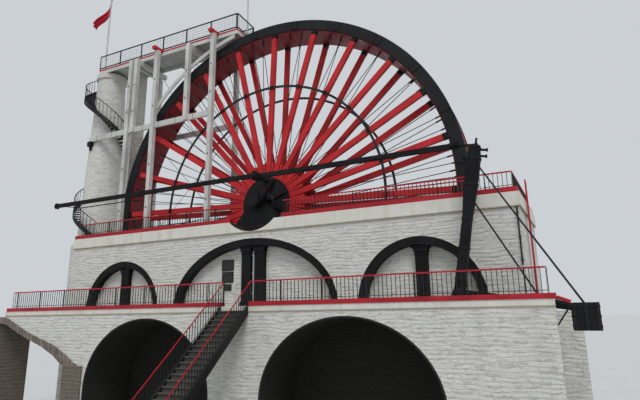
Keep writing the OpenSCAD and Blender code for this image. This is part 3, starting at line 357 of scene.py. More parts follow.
def plaster(name, color, dirt, undersides):
    """Smooth render: soft hand-trowelled swells, hair cracks, and a thin dark yellowish line along each lower edge,
    partly lichen and partly painted shadow under the band.
    """
    s = Shader(name, rough=0.85, specular=0.2)
    z = s.split()[2]
    swell, fine = s.noise(1.3, 3.0), s.noise(13.0, 5.0, rough=0.65)
    streak = s.noise(1.0, 4.0, s.scaled((2.2, 2.2, 0.2)))
    lowest = None
    for edge in undersides:
        near = s.math("ABSOLUTE", s.less(z, edge))
        lowest = s.math("MINIMUM", lowest, near) if lowest else near
    lichen_and_shadow_line = s.ramp(s.add(lowest, s.times(s.less(fine, 0.5), 0.05)), [(0.0, 1.0), (0.035, 0.7), (0.07, 0.0)])
    shade = s.mix(s.ramp(swell, [(0.35, 0.0), (0.75, 0.35)]), color, dirt)
    shade = s.mix(s.ramp(streak, [(0.5, 0.0), (0.75, 0.45)]), shade, dirt)
    shade = s.mix(s.ramp(fine, [(0.62, 0.0), (0.7, 0.5)]), shade, dimmed(dirt, 0.6))
    # Lower edges and undersides: yellowish lichen, darkened as painted shadow under the projecting band
    shade = s.mix(s.times(lichen_and_shadow_line, 0.8), shade, (0.20, 0.16, 0.05))
    # Painted shade: near-black in the crank's round notch where it cuts the cornice, over its black paint
    shade = s.mix(s.times(notch_shade_mask(s), 0.97), shade, DARK_AND_SHADED_INSIDE)
    s.finish(shade, normal=s.bump(s.add(s.times(swell, 2.0), s.times(fine, 0.3)), 0.02))


def cloth(name, color, faded):
    """Woven bunting: crossing threads on the piece's own measure, faded in soft patches."""
    s = Shader(name, rough=0.85, specular=0.1)
    weft = s.node("ShaderNodeTexWave", {"Vector": s.place, "Scale": 60.0, "Distortion": 0.4}).outputs[1]
    warp = s.node("ShaderNodeTexWave", {"Vector": s.place, "Scale": 60.0, "Distortion": 0.4},
                  bands_direction="Z").outputs[1]
    shade = s.mix(s.ramp(s.noise(1.6, 3.0), [(0.35, 0.0), (0.7, 0.7)]), color, faded)
    s.surface.inputs["Sheen Weight"].default_value = 0.2
    s.finish(shade, normal=s.bump(s.add(weft, warp), 0.002, 0.6))


TOWER_LOW, TOWER_HIGH = corners("tower")
TOWER_X, TOWER_Y, _ = (TOWER_LOW + TOWER_HIGH) / 2
TOWER_R = TOWER_HIGH[0] - TOWER_X
UPPER_RAIL_TOP = corners("upper_fence")[1][2]
TERRACE_RAIL_TOP = corners("terrace_fence")[1][2]
RAIL_CAP = 0.065
PLASTER_EDGES = (corners("cornice")[0][2], corners("terrace_band")[0][2])

WASH = (0.67, 0.665, 0.62)
JOINT = (0.28, 0.275, 0.24)
RED = (0.47, 0.007, 0.018)
BLACK = (0.008, 0.008, 0.009)
RUST = (0.045, 0.024, 0.016)
WHITE_PAINT = (0.64, 0.645, 0.61)
GREY_WOOD = (0.36, 0.36, 0.31)

masonry("white_masonry", WASH, JOINT, shaded_mouths=True)
masonry("tower_masonry", WASH, JOINT, relief=0.04, axis=(TOWER_X, TOWER_Y, TOWER_R))
masonry("bare_stone", (0.15, 0.125, 0.10), (0.30, 0.27, 0.22), course=0.21, stone=0.5, relief=0.08, fill=0.45)
voussoirs("ring_stone", (0.26, 0.22, 0.19), (0.11, 0.09, 0.08), 0.28)
plaster("cream_render", (0.68, 0.67, 0.61), (0.44, 0.42, 0.34), PLASTER_EDGES)
wheel_boards("dark_red_timber", (0.24, 0.005, 0.010), (0.06, 0.010, 0.010), 336)
planks("deck_boards", (0.52, 0.54, 0.50), (0.30, 0.31, 0.27), 0.19)
cloth("flag_cloth", (0.52, 0.012, 0.035), (0.36, 0.02, 0.03))
# Each paint: its colour, what shows where it is worn, and what else sets it apart
PAINTS = {
    "red_kerb": ((0.43, 0.008, 0.02), (0.2, 0.012, 0.016), {"rough": 0.5}),
    "black_paint": (BLACK, (0.03, 0.027, 0.024), {"rough": 0.6, "specular": 0.2}),
    "black_iron": ((0.008, 0.0085, 0.010), (0.03, 0.025, 0.022), {"rough": 0.5, "specular": 0.25}),
    "black_rail": (BLACK, RUST, {}),
    "red_rail": (RED, (0.18, 0.012, 0.014), {}),
    "upper_rails": (BLACK, RUST, {"cap": (RED, above(UPPER_RAIL_TOP - RAIL_CAP))}),
    "terrace_rails": (BLACK, RUST, {"cap": (RED, above(TERRACE_RAIL_TOP - RAIL_CAP))}),
    "stair_hand_rails": (BLACK, RUST, {"cap": (RED, on_stair_rail)}),
    "white_timber": (WHITE_PAINT, GREY_WOOD, {"wear": 0.66, "grain": upright_grain}),
    "white_beam": (WHITE_PAINT, GREY_WOOD, {"wear": 0.66, "grain": level_grain}),
    "red_timber": ((0.58, 0.010, 0.014), (0.24, 0.008, 0.010), {"rough": 0.5, "grain": radial_grain}),
    "stair_stone": ((0.085, 0.08, 0.072), (0.17, 0.16, 0.14), {"rough": 0.85, "wear": 0.56, "relief": 0.02}),
    "axle_steel": ((0.05, 0.05, 0.055), (0.09, 0.07, 0.05), {"rough": 0.3, "metal": 0.6}),
    "dark_plate": ((0.022, 0.022, 0.023), (0.05, 0.045, 0.04), {"rough": 0.4}),
    "grey_pipe": ((0.46, 0.47, 0.47), (0.25, 0.24, 0.22), {}),
    "mesh_wire": ((0.07, 0.07, 0.072), (0.12, 0.09, 0.07), {"rough": 0.5, "metal": 0.4}),
}
for title, (color, worn, more) in PAINTS.items():
    paint(title, color, worn, **more)

# New finishes that the record has no slot for, and CAD nodes whose finish isn't their slot's own
OWN_FINISH = {"tower": "tower_masonry", "tower_cap": "tower_masonry", "side_arch_ring": "ring_stone",
              "upper_fence": "upper_rails", "terrace_fence": "terrace_rails", "stair_rails": "stair_hand_rails",
              "long_beams": "white_beam", "deck_fascia": "white_beam"}


def dress_nodes():
    """Gives every CAD node the material of its record slot, or its own finish where it has one."""
    slots = {part["node"]: part["material_slot"] for part in frame["record"]["subparts"]}
    for name, node in frame["nodes"].items():
        node.data.materials.clear()
        node.data.materials.append(MATERIALS[OWN_FINISH.get(name, slots[name])])


def make_piece(name, points, faces, material, body="root"):
    """A piece from arrays of points and faces, at the origin, riding on a body: the fixed one if none is named."""
    mesh = bpy.data.meshes.new(name)
    mesh.from_pydata(np.asarray(points, float).reshape(-1, 3).tolist(), [], [list(f) for f in faces])
    mesh.update()
    piece = bpy.data.objects.new(name, mesh)
    bpy.context.scene.collection.objects.link(piece)
    mesh.materials.append(MATERIALS[material])
    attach(piece, body)
    return piece


def as_points(*lists):
    """Each list of points, or single point, as an array of floats with a point in each row."""
    return [np.atleast_2d(points).astype(float) for points in lists]


BOX_SIGNS = np.array([[x, y, z] for z in (-1, 1) for y in (-1, 1) for x in (-1, 1)], float)
BOX_FACES = np.array([[0, 2, 3, 1], [4, 5, 7, 6], [0, 1, 5, 4], [2, 6, 7, 3], [0, 4, 6, 2], [1, 3, 7, 5]])


def boxes(name, middles, halves, material, body="root", axes=None, soften=0.0):
    """Many boxes as one joined piece: each middle plus the signs times the half sizes, turned by its axes."""
    middles, = as_points(middles)
    spread = BOX_SIGNS[None] * np.broadcast_to(halves, middles.shape)[:, None]
    if axes is not None:
        spread = np.einsum("nij,nkj->nki", np.broadcast_to(axes, (len(middles), 3, 3)), spread)
    points = middles[:, None] + spread
    faces = (BOX_FACES[None] + 8 * np.arange(len(points))[:, None, None]).reshape(-1, 4)
    piece = make_piece(name, points, faces, material, body)
    if soften:
        bevel = piece.modifiers.new("soften", "BEVEL")
        bevel.width, bevel.segments, bevel.limit_method = soften, 1, "ANGLE"


def spans(name, lows, highs, material, body="root", soften=0.0):
    """Boxes from their lowest and highest corners."""
    lows, highs = as_points(lows, highs)
    boxes(name, (lows + highs) / 2, np.abs(highs - lows) / 2, material, body, soften=soften)


def frames_along(directions):
    """Axes whose third column runs along each direction: the first is level or, for upright ones, along X."""
    third = directions / np.linalg.norm(directions, axis=1)[:, None]
    guide = np.where(np.abs(third[:, 2:3]) > 0.99, (0.0, 1.0, 0.0), (0.0, 0.0, 1.0))
    first = np.cross(guide, third)
    first /= np.linalg.norm(first, axis=1)[:, None]
    return np.stack([first, np.cross(third, first), third], axis=2)


def beams(name, starts, ends, wide, high, material, body="root", soften=0.0):
    """Square bars from point to point: boxes whose long axis follows each span."""
    starts, ends = as_points(starts, ends)
    length = np.linalg.norm(ends - starts, axis=1)
    halves = np.stack([0 * length + wide / 2, 0 * length + high / 2, length / 2], axis=1)
    boxes(name, (starts + ends) / 2, halves, material, body, frames_along(ends - starts), soften)


def circle(radius, sides=10):
    turn = np.arange(sides) * 2 * np.pi / sides
    return np.stack([radius * np.cos(turn), radius * np.sin(turn)], axis=1)


def square(wide, high):
    return np.array([[-wide, -high], [wide, -high], [wide, high], [-wide, high]]) / 2


def ring_faces(rings, sides):
    """Faces between rings of points that follow each other: a point, the next one round, and the two beyond."""
    i, j = np.meshgrid(np.arange(rings - 1) * sides, np.arange(sides), indexing="ij")
    k = (j + 1) % sides
    return np.stack([i + j, i + k, i + k + sides, i + j + sides], axis=-1).reshape(-1, 4)


def rods(name, starts, ends, radius, material, body="root", sides=8):
    """Many round bars as one piece: a ring of points at each end of each bar, closed by its end faces."""
    starts, ends = as_points(starts, ends)
    around = np.einsum("nij,kj->nki", frames_along(ends - starts)[:, :, :2], circle(radius, sides))
    points = np.concatenate([starts[:, None] + around, ends[:, None] + around], axis=1)
    walls, near, faces = ring_faces(2, sides), np.arange(sides), []
    for shift in 2 * sides * np.arange(len(starts)):
        faces += [*(walls + shift).tolist(), (near[::-1] + shift).tolist(), (near + sides + shift).tolist()]
    make_piece(name, points, faces, material, body)


def bolts(name, places, way, radius, high, material, body="root"):
    """Hexagon heads that stand out from their places along one direction or one each."""
    (places,), way = as_points(places), np.asarray(way)
    rods(name, places - 0.01 * way, places + high * way, radius, material, body, sides=6)


def swept(name, path, outline, side, material, body="root", smooth=True):
    """An outline carried along an open path, with a face at both ends: at each point its first measure runs along
    the side direction and its second along the cross product of side and tangent."""
    path = np.asarray(path, float)
    ahead = np.gradient(path, axis=0)
    ahead /= np.linalg.norm(ahead, axis=1)[:, None]
    over = np.cross(side, ahead)
    over /= np.linalg.norm(over, axis=1)[:, None]
    across = np.cross(ahead, over)
    points = path[:, None] + outline[None, :, :1] * across[:, None] + outline[None, :, 1:] * over[:, None]
    count, ring = len(path), np.arange(len(outline))
    faces = ring_faces(count, len(ring))[:, [0, 3, 2, 1]].tolist()
    faces += [ring.tolist(), (ring[::-1] + (count - 1) * len(ring)).tolist()]
    piece = make_piece(name, points, faces, material, body)
    if smooth:
        piece.data.shade_smooth()


def turned(name, profile, centre, way, material, body="root", sides=24):
    """A turned piece: a profile of radius and height swung round a centre line. Its first and last radius are nil,
    so each end is one point with a fan of triangles round it."""
    profile = np.asarray(profile, float)
    axes = frames_along(np.asarray([way], float))[0]
    flat = profile[1:-1, None, :1] * circle(1.0, sides)[None]
    walls = flat @ axes[:, :2].T + profile[1:-1, 1][:, None, None] * axes[:, 2]
    poles = profile[[0, -1], 1][:, None] * axes[:, 2]
    points = np.asarray(centre, float) + np.concatenate([poles, walls.reshape(-1, 3)])
    near = 2 + np.arange(sides)
    far = near + (len(profile) - 3) * sides
    fans = np.concatenate([np.stack([0 * near, np.roll(near, -1), near], axis=1),
                           np.stack([0 * far + 1, far, np.roll(far, -1)], axis=1)])
    faces = (2 + ring_faces(len(profile) - 2, sides)).tolist() + fans.tolist()
    make_piece(name, points, faces, material, body).data.shade_smooth()


def around_axle(radius, angles, y):
    """Points at a radius and angles about the axle, in the plane at y."""
    radius, angles, y = np.broadcast_arrays(radius, angles, y)
    return np.stack([radius * np.cos(angles), y, HUB_Z + radius * np.sin(angles)], axis=-1)


def wheel_axes(angles):
    """Axes of a box that stands at each angle of the wheel: out along the radius, along the axle, round."""
    c, s, zero = np.cos(angles), np.sin(angles), 0 * angles
    columns = (c, zero, s), (zero, 1 + zero, zero), (-s, zero, c)
    return np.stack([np.stack(column, 1) for column in columns], 2)


dress_nodes()

# Wheel: its sizes as the frame has them, and every spoke's angle for the front face and again for the rear
RIM_LOW, RIM_HIGH = corners("shrouds")
RIM_R = (RIM_HIGH[0] - RIM_LOW[0]) / 2
RIM_Y = RIM_HIGH[1]
SHROUD_DEPTH = 0.6
SPOKE_FACE, SPOKE_BACK = [-corner[1] for corner in corners("front_spokes")]
SPOKE_STEP = 2 * np.pi / 24
SPOKE_ANGLES = math.radians(12.7) + np.arange(24) * SPOKE_STEP
BOTH_FACES = np.tile(SPOKE_ANGLES, 2)
RING_Y = corners("tie_rings")[1][1]
RING_R = 6.95
CHEEK_Y = SPOKE_FACE + 0.08
CRANK_DISC_Y = -2.29
CRANK_BOSS_Y = -2.38
BEARINGS_Y = (-1.57, 1.57)


def wheel_plates(name, radius, angles, y, halves, soften):
    """Iron plates at a radius on the wheel's two faces: the first half of the angles in front, the rest behind."""
    side = np.repeat([-1.0, 1.0], len(angles) // 2)
    boxes(name, around_axle(radius, angles, side * y), halves, "black_iron", "wheel", wheel_axes(angles), soften)


def wheel_bolts(name, spots, angles, y, radius, high):
    """Bolt heads on the wheel's two faces: one for each spot, a radius and a small turn, at each of the angles."""
    side = np.repeat([-1.0, 1.0], len(angles) // 2)
    places = np.concatenate([around_axle(r, angles + t, side * y) for r, t in spots])
    way = np.tile(side[:, None] * (0.0, 1.0, 0.0), (len(spots), 1))
    bolts(name, places, way, radius, high, "black_iron", "wheel")


def wheel_fittings():
    """Iron shoes, thin crossing tie rods, shroud fish plates with bolts and clips on the middle ring."""
    rim_inside, middle, shoe_half = RIM_R - SHROUD_DEPTH, (SPOKE_FACE + SPOKE_BACK) / 2, 0.112
    shoe_r = rim_inside - 0.15
    wheel_plates("spoke_shoes", shoe_r, BOTH_FACES, middle, (0.13, shoe_half, 0.164), 0.015)
    spots = [(shoe_r + out, turn) for out in (-0.07, 0.07) for turn in (-0.008, 0.008)]
    wheel_bolts("shoe_bolts", spots, BOTH_FACES, middle + shoe_half, 0.032, 0.03)
    gaps = (SPOKE_ANGLES[:, None] + np.array([0.36, 0.64]) * SPOKE_STEP).ravel()
    inner, outer = around_axle(1.72, gaps, -SPOKE_BACK), around_axle(rim_inside - 0.05, gaps, 0.62)
    shaded_mouths = outer + 0.035 * (inner - outer)
    inner, outer, shaded_mouths = [np.concatenate([ends, ends * (1.0, -1.0, 1.0)]) for ends in (inner, outer, shaded_mouths)]
    rods("wheel_tie_rods", inner, outer, 0.021, "black_rail", "wheel", sides=6)
    rods("tie_rod_sockets", shaded_mouths, outer, 0.045, "black_iron", "wheel")
    joints, joint_r = BOTH_FACES + SPOKE_STEP / 2, RIM_R - SHROUD_DEPTH / 2
    wheel_plates("shroud_plates", joint_r, joints, RIM_Y + 0.012, (0.27, 0.016, 0.2), 0.006)
    spots = [(joint_r + out, turn) for out in (-0.19, 0.0, 0.19) for turn in (-0.0135, 0.0135)]
    wheel_bolts("shroud_bolts", spots, joints, RIM_Y + 0.028, 0.03, 0.028)
    wheel_plates("ring_clips", RING_R, BOTH_FACES, RING_Y + 0.012, (0.1, 0.014, 0.11), 0.005)
    wheel_bolts("ring_bolts", [(RING_R, -0.01), (RING_R, 0.01)], BOTH_FACES, RING_Y + 0.026, 0.024, 0.025)


def hub_fittings():
    """Bolts through both cheeks, ribs that brace them, the nut on the crank pin, a red cap and the boss's bolts."""
    spots = ((1.41, 0.0), (1.41, SPOKE_STEP / 2), (1.12, 0.0))
    wheel_bolts("cheek_bolts", spots, BOTH_FACES, CHEEK_Y, 0.038, 0.045)
    wheel_plates("cheek_ribs", 0.98, BOTH_FACES[::3] + SPOKE_STEP / 2, CHEEK_Y + 0.035, (0.42, 0.045, 0.028), 0.008)
    pin_end = corners("crank")[0][1]
    turned("pin_nut", [(0.0, -0.02), (0.125, -0.02), (0.13, 0.0), (0.13, 0.055), (0.11, 0.075), (0.055, 0.075),
                       (0.05, 0.11), (0.0, 0.115)], (PIN[0], pin_end, PIN[2]), FRONT, "black_iron", "wheel",
           sides=6)
    turned("crank_cap", [(0.0, -0.02), (0.055, -0.02), (0.055, 0.03), (0.04, 0.045), (0.0, 0.048)],
           (0.70, CRANK_DISC_Y, HUB_Z + 0.39), FRONT, "red_rail", "wheel", sides=20)
    bolts("boss_bolts", around_axle(0.35, np.arange(8) * np.pi / 4, CRANK_BOSS_Y), FRONT, 0.035, 0.035,
          "black_iron", "wheel")


def bearing_fittings():
    """Cap straps bent over both bearings, their flange bolts, and bolts through the feet."""
    turn = np.linspace(0, np.pi, 25)
    for word, y in zip(("front", "rear"), BEARINGS_Y):
        swept(word + "_bearing_cap", around_axle(0.452, turn, y), square(0.5, 0.05), (0, 1, 0), "black_iron",
              smooth=False)
    flanges = [(x, y, HUB_Z - 0.03) for x in (-0.56, 0.56) for y in BEARINGS_Y]
    boxes("bearing_flanges", flanges, (0.12, 0.25, 0.035), "black_iron", soften=0.008)
    tops = [(x, y + dy, HUB_Z) for x in (-0.6, 0.6) for y in BEARINGS_Y for dy in (-0.15, 0.15)]
    bolts("bearing_bolts", tops, UP, 0.04, 0.05, "black_iron")
    foot_top = corners("bearings")[0][2] + 0.155
    feet = [(x, y + dy, foot_top) for x in (-1.2, 1.2) for y in BEARINGS_Y for dy in (-0.15, 0.15)]
    bolts("foot_bolts", feet, UP, 0.05, 0.06, "black_iron")


wheel_fittings()
hub_fittings()
bearing_fittings()


def rod_fittings():
    """Fish plates with bolts where the rods' lengths join, and the right rod's fork with its pin. The left rod
    hangs on the crank pin's outer half, the right one on its inner half."""
    left_x, right_x = (-2.6, -6.1, -9.6), (3.9, 7.4)
    left_y = corners("left_rod")[0][1]
    (_, right_y, _), (right_end, back_y, _) = corners("right_rod")
    for name, spots, y in (("left_rod_plates", left_x, left_y - 0.01), ("right_rod_plates", right_x, right_y - 0.01),
                           ("rod_back_plates", right_x, back_y + 0.01)):
        boxes(name, [(x, y, PIN[2]) for x in spots], (0.36, 0.014, 0.085), "black_iron", "rods", soften=0.005)
    fronts = [(x + dx, y - 0.022, PIN[2]) for spots, y in ((left_x, left_y), (right_x, right_y)) for x in spots
              for dx in (-0.27, -0.09, 0.09, 0.27)]
    bolts("rod_bolts", fronts, FRONT, 0.03, 0.028, "black_iron", "rods")
    cheeks, tail_x, nose_x = (right_y - 0.014, back_y + 0.014), right_end - 0.42, right_end + 0.72
    tails, noses = [(tail_x, y, PIN[2]) for y in cheeks], [(nose_x, y, PIN[2] - 0.1) for y in cheeks]
    beams("fork_cheeks", tails, noses, 0.15, 0.026, "black_iron", "rods", soften=0.006)
    pin_x, pin_z = nose_x - 0.07, PIN[2] - 0.09
    rods("fork_pin", (pin_x, cheeks[0] - 0.06, pin_z), (pin_x, cheeks[1] + 0.05, pin_z), 0.06, "black_iron", "rods",
         sides=16)


# Rocking post: its own line leans from the pivot to the head
POST_LEAN = math.radians(10.3)
POST_UP = np.array([math.sin(POST_LEAN), 0.0, math.cos(POST_LEAN)])
POST_SIDE = np.array([math.cos(POST_LEAN), 0.0, -math.sin(POST_LEAN)])
POST_L = 5.85
POST_AXES = np.stack([POST_SIDE, (0.0, 1.0, 0.0), POST_UP], axis=1)


def on_post(share, aside=0.0, y=0.0):
    return PIVOT + share * POST_L * POST_UP + aside * POST_SIDE + (0.0, y, 0.0)


# Straps on the post: share of its height and half width there; their half depth is the same all the way up
POST_STRAPS = ((0.09, 0.2), (0.3, 0.195), (0.5, 0.185), (0.74, 0.27), (0.925, 0.27))
STRAP_DEPTH = 0.194


def rocker_fittings():
    """Straps and bolts round the post, pins at its head, and bands, battens and bolts round the counterweight."""
    for share, half in POST_STRAPS:
        boxes("post_strap_%d" % round(100 * share), on_post(share), (half + 0.014, STRAP_DEPTH, 0.055),
              "black_iron", "rocker", POST_AXES, soften=0.006)
    spots = [on_post(share, a * half, b * STRAP_DEPTH) for share, half in POST_STRAPS for a in (-0.6, 0.6)
             for b in (-1, 1)]
    way = np.tile([(0, -1, 0), (0, 1, 0)], (len(spots) // 2, 1))
    bolts("post_bolts", spots, way, 0.028, 0.026, "black_iron", "rocker")
    boxes("post_cap", on_post(1.0) + 0.03 * POST_UP, (0.23, 0.21, 0.045), "black_iron", "rocker", POST_AXES,
          soften=0.02)
    foot = on_post(1.0, 0.02)
    rods("head_pin", foot + 0.05 * POST_UP, foot + 0.42 * POST_UP, 0.045, "black_iron", "rocker", sides=12)
    starts = np.array([on_post(share, 0.1, -0.05) for share in (0.985, 0.94)])
    for name, start, end, radius in (("head_arms", 0.0, 0.38, 0.05), ("head_arm_ends", 0.36, 0.42, 0.075)):
        rods(name, starts + start * POST_SIDE, starts + end * POST_SIDE, radius, "black_iron", "rocker", sides=12)
    swept("head_cheek", [on_post(0.93, -0.3, y) for y in (-0.17, 0.17)], circle(0.16, 20), UP,
          "black_iron", "rocker")
    low, high = corners("counterweight")
    mid, half, thick = (low + high) / 2, (high - low) / 2, 0.012
    levels = (low[2] + 0.14, mid[2], high[2] - 0.14)
    boxes("weight_bands", [(mid[0], mid[1], z) for z in levels], (half[0] + thick, half[1] + thick, 0.045),
          "black_iron", "rocker", soften=0.005)
    rows = [(mid[0] + a * (half[0] - 0.07), b) for a in (-1, 0, 1) for b in (-1, 1)]
    boxes("weight_battens", [(x, mid[1] + b * (half[1] + thick), mid[2]) for x, b in rows],
          (0.05, thick, half[2] - 0.02), "black_rail", "rocker", soften=0.004)
    spots = [(x, mid[1] + b * (half[1] + 2 * thick), z) for x, b in rows for z in levels]
    bolts("weight_bolts", spots, [(0, b, 0) for _, b in rows for _ in levels], 0.03, 0.028, "black_iron", "rocker")


def rocker_seat_fittings():
    """Washers on both ends of the pivot pin and bolts through the bearing's foot."""
    low, high = corners("rocker_bearing")
    profile = [(0.0, 0.0), (0.17, 0.0), (0.17, 0.02), (0.13, 0.035), (0.0, 0.035)]
    for word, y, way in (("front", low[1], -1), ("rear", high[1], 1)):
        turned(word + "_pivot_washer", profile, (PIVOT[0], y + way * 0.035, PIVOT[2]), (0, way, 0), "black_iron",
               "rocker")
    places = [(PIVOT[0] + x, PIVOT[1] + y, low[2] + 0.066) for x in (-0.42, 0.42) for y in (-0.235, 0.235)]
    bolts("pivot_foot_bolts", places, UP, 0.035, 0.045, "black_iron")


rod_fittings()
rocker_fittings()
rocker_seat_fittings()

# Deck: a light rail with a wire mesh, poles, braces and bolts through the posts
DECK_LOW, DECK_HIGH = corners("deck")
RAIL_LOW, RAIL_HIGH = corners("deck_railing")
POST_FRONT_Y = corners("front_posts")[0][1]
FRONT_POSTS = (-10.76, -10.27, -8.47, -5.78, -3.82)
TALL_POSTS = (-10.76, -8.47, -3.82)
REAR_POSTS = (-10.65, -3.82)
BRACE_Y = 1.3
HALYARD_FOOT = 24.1
BEAM_LOW, BEAM_HIGH = corners("long_beams")
# Flagpoles: X, side, height of the finial over the deck, and height of the halyard's upper end
POLES = {"left": (-14.05, -1, 5.85, 28.9), "right": (-2.65, 1, 4.6, 27.65)}


def mesh_panel(a, b, low, high, pitch):
    """Starts and ends of the wires of one fence panel: uprights at every pitch and level ones between."""
    a, b = as_points(a, b)
    count = max(2, round(np.linalg.norm(b - a) / pitch))
    feet = a + (b - a) * np.linspace(0, 1, count + 1)[1:-1, None]
    levels = np.linspace(low, high, round((high - low) / pitch) + 1)[1:-1]
    up = np.array([0.0, 0.0, 1.0])
    rises = levels[:, None] * up
    return np.concatenate([feet + low * up, a + rises]), np.concatenate([feet + high * up, b + rises])


def deck_fittings():
    """Wire mesh in the railing, its rounded ends, finials, halyard, wire braces, bolts and the beam's bracket."""
    y, x0, x1 = RAIL_HIGH[1] - 0.03, RAIL_LOW[0], RAIL_HIGH[0] - 0.03
    lines = [((x0, -y, 0), (x1, -y, 0)), ((-13.5, y, 0), (x1, y, 0)), ((x1, -y, 0), (x1, y, 0))]
    panels = [mesh_panel(a, b, RAIL_LOW[2] + 0.09, RAIL_HIGH[2] - 0.06, 0.2) for a, b in lines]
    starts, ends = [np.concatenate(points) for points in zip(*panels)]
    rods("deck_mesh", starts, ends, 0.006, "mesh_wire", sides=4)
    turn, bend_r = np.linspace(0, np.pi / 2, 9), 0.28
    bend = np.stack([x1 - bend_r + bend_r * np.sin(turn), -y + bend_r - bend_r * np.cos(turn),
                     0 * turn + RAIL_HIGH[2] - 0.018], axis=1)
    swept("deck_rail_bend", bend, circle(0.032), UP, "black_rail")
    ball = [(0.0, -0.01), (0.03, 0.0), (0.035, 0.02), (0.075, 0.06), (0.09, 0.1), (0.075, 0.14), (0.03, 0.17),
            (0.0, 0.175)]
    for word, (x, side, tall, _) in POLES.items():
        turned(word + "_finial", ball, (x, 0.75 * side, DECK_HIGH[2] + tall), UP, "white_timber", sides=16)
    lines = [(x, 0.82 * side, end) for x, side, _, end in POLES.values()]
    rods("halyards", [(x, y, HALYARD_FOOT) for x, y, _ in lines], lines, 0.007, "mesh_wire", sides=5)
    cleats = np.array([(x, 0.8 * side, HALYARD_FOOT - 0.1) for x, side, _, _ in POLES.values()])
    rods("halyard_cleats", cleats, cleats + (0, 0, 0.24), 0.018, "black_iron", sides=6)
    left, right = REAR_POSTS
    middle, under, top, low, foot, level = (left + right) / 2, BEAM_HIGH[2], DECK_LOW[2], BEAM_LOW[2], 10.6, 20.2
    wires = [(left, under, middle, top), (middle, under, left, top), (middle, under, right, top),
             (right, under, middle, top), (left, foot, right, low), (left, low, right, foot),
             (left, level, right, level)]
    rods("brace_wires", [(x, BRACE_Y, z) for x, z, _, _ in wires], [(x, BRACE_Y, z) for _, _, x, z in wires],
         0.014, "black_rail", sides=6)
    spots = [(x, POST_FRONT_Y, z) for x in FRONT_POSTS for z in (12.2, 15.0, 19.0, 20.9)
             if z > BEAM_LOW[2] or x in TALL_POSTS]
    bolts("post_through_bolts", spots, FRONT, 0.045, 0.03, "black_iron")
    seams = [(x, BEAM_LOW[1], (BEAM_LOW[2] + BEAM_HIGH[2]) / 2 + dz) for x in np.arange(-13.6, -4, 1.4)
             for dz in (-0.09, 0.09)]
    bolts("beam_bolts", seams, FRONT, 0.03, 0.025, "black_iron")
    boxes("beam_bracket", (-14.25, -1.24, low - 0.17), (0.17, 0.16, 0.17), "black_iron", soften=0.02)
    beams("beam_bracket_strut", (-14.25, -1.2, low - 0.62), (-14.25, -1.34, low - 0.02), 0.14, 0.1, "black_iron",
          soften=0.01)


FLAG_WIDE = 0.95
FLAG_LONG = 2.0


def make_flag():
    """A flag in light wind. Each point is the hoist's top plus a share of the fly, which runs down and away, plus
    a share of the upright hoist; sine folds across deepen to the fly's end, and their depth is halved in on until
    the cloth's area is that of its cut."""
    low, high = corners("flag")
    s, t = np.meshgrid(np.linspace(0, 1, 81), np.linspace(0, 1, 49), indexing="ij")
    slope = math.radians(38) * (0.85 + 0.3 * s)

    def surface(depth):
        fold = depth * s ** 0.8 * np.sin(2 * np.pi * (2.0 * t + 0.35 * s) + 0.6) + 0.12 * np.sin(np.pi * 1.6 * s)
        x = high[0] + 0.03 - FLAG_LONG * s * np.cos(slope) + 0.08 * s * (t - 0.5)
        z = high[2] - FLAG_WIDE * t * (1 - 0.45 * s) - FLAG_LONG * s * np.sin(slope)
        return np.stack([x, (low[1] + high[1]) / 2 + fold, z], axis=-1)

    def area(points):
        across = np.cross(points[1:, :-1] - points[:-1, :-1], points[:-1, 1:] - points[:-1, :-1])
        return np.linalg.norm(across, axis=-1).sum()

    shallow, deep = 0.0, 0.6
    for _ in range(30):
        depth = (shallow + deep) / 2
        shallow, deep = (depth, deep) if area(surface(depth)) < FLAG_WIDE * FLAG_LONG else (shallow, depth)
    points = surface(depth)
    row, near = s.shape[1], np.arange(s.size).reshape(s.shape)[:-1, :-1]
    faces = np.stack([near, near + 1, near + row + 1, near + row], axis=-1).reshape(-1, 4)
    piece = make_piece("hung_flag", points, faces, "flag_cloth")
    piece.data.shade_smooth()
    cloth_wall = piece.modifiers.new("cloth", "SOLIDIFY")
    cloth_wall.thickness, cloth_wall.offset = 0.004, 0.0
    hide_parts("flag")


deck_fittings()
make_flag()

# House: heights from the floor, and depths of the recess, the columns and the bands from the axle's middle
TERRACE_Z = 5.95
KERB_TOP = 10.49
RECESS_Y = 2.56
COLUMN_Y = 2.852
BAND_Y = 2.935
# Arches of the bands: middle, width and rise. Columns: X, and height of the top over the terrace
ARCHES = ((-8.35, 5.56, 2.72), (0.33, 9.6, 3.4), (8.87, 5.58, 2.82))
COLUMNS = {-8.29: 2.32, 0.01: 2.995, 0.79: 2.98, 8.98: 2.41}
COLUMN_HALF = 0.262
DOWNPIPE = (0.4, -2.72)
CORNER_PIPE = (13.02, -3.055)
UPPER_FENCE_Y = 2.84
TERRACE_FENCE_Y = -4.84
STAIR_RAILS_X = (0.165, 1.635)


def band_line(arch, inset, y):
    """Points of half an ellipse from one foot of an arch to the other, drawn in by the inset."""
    middle, wide, rise = arch
    turn = np.linspace(0, np.pi, 49)
    return np.stack([middle + (wide / 2 - inset) * np.cos(turn), 0 * turn + y,
                     TERRACE_Z + (rise - inset) * np.sin(turn)], axis=1)


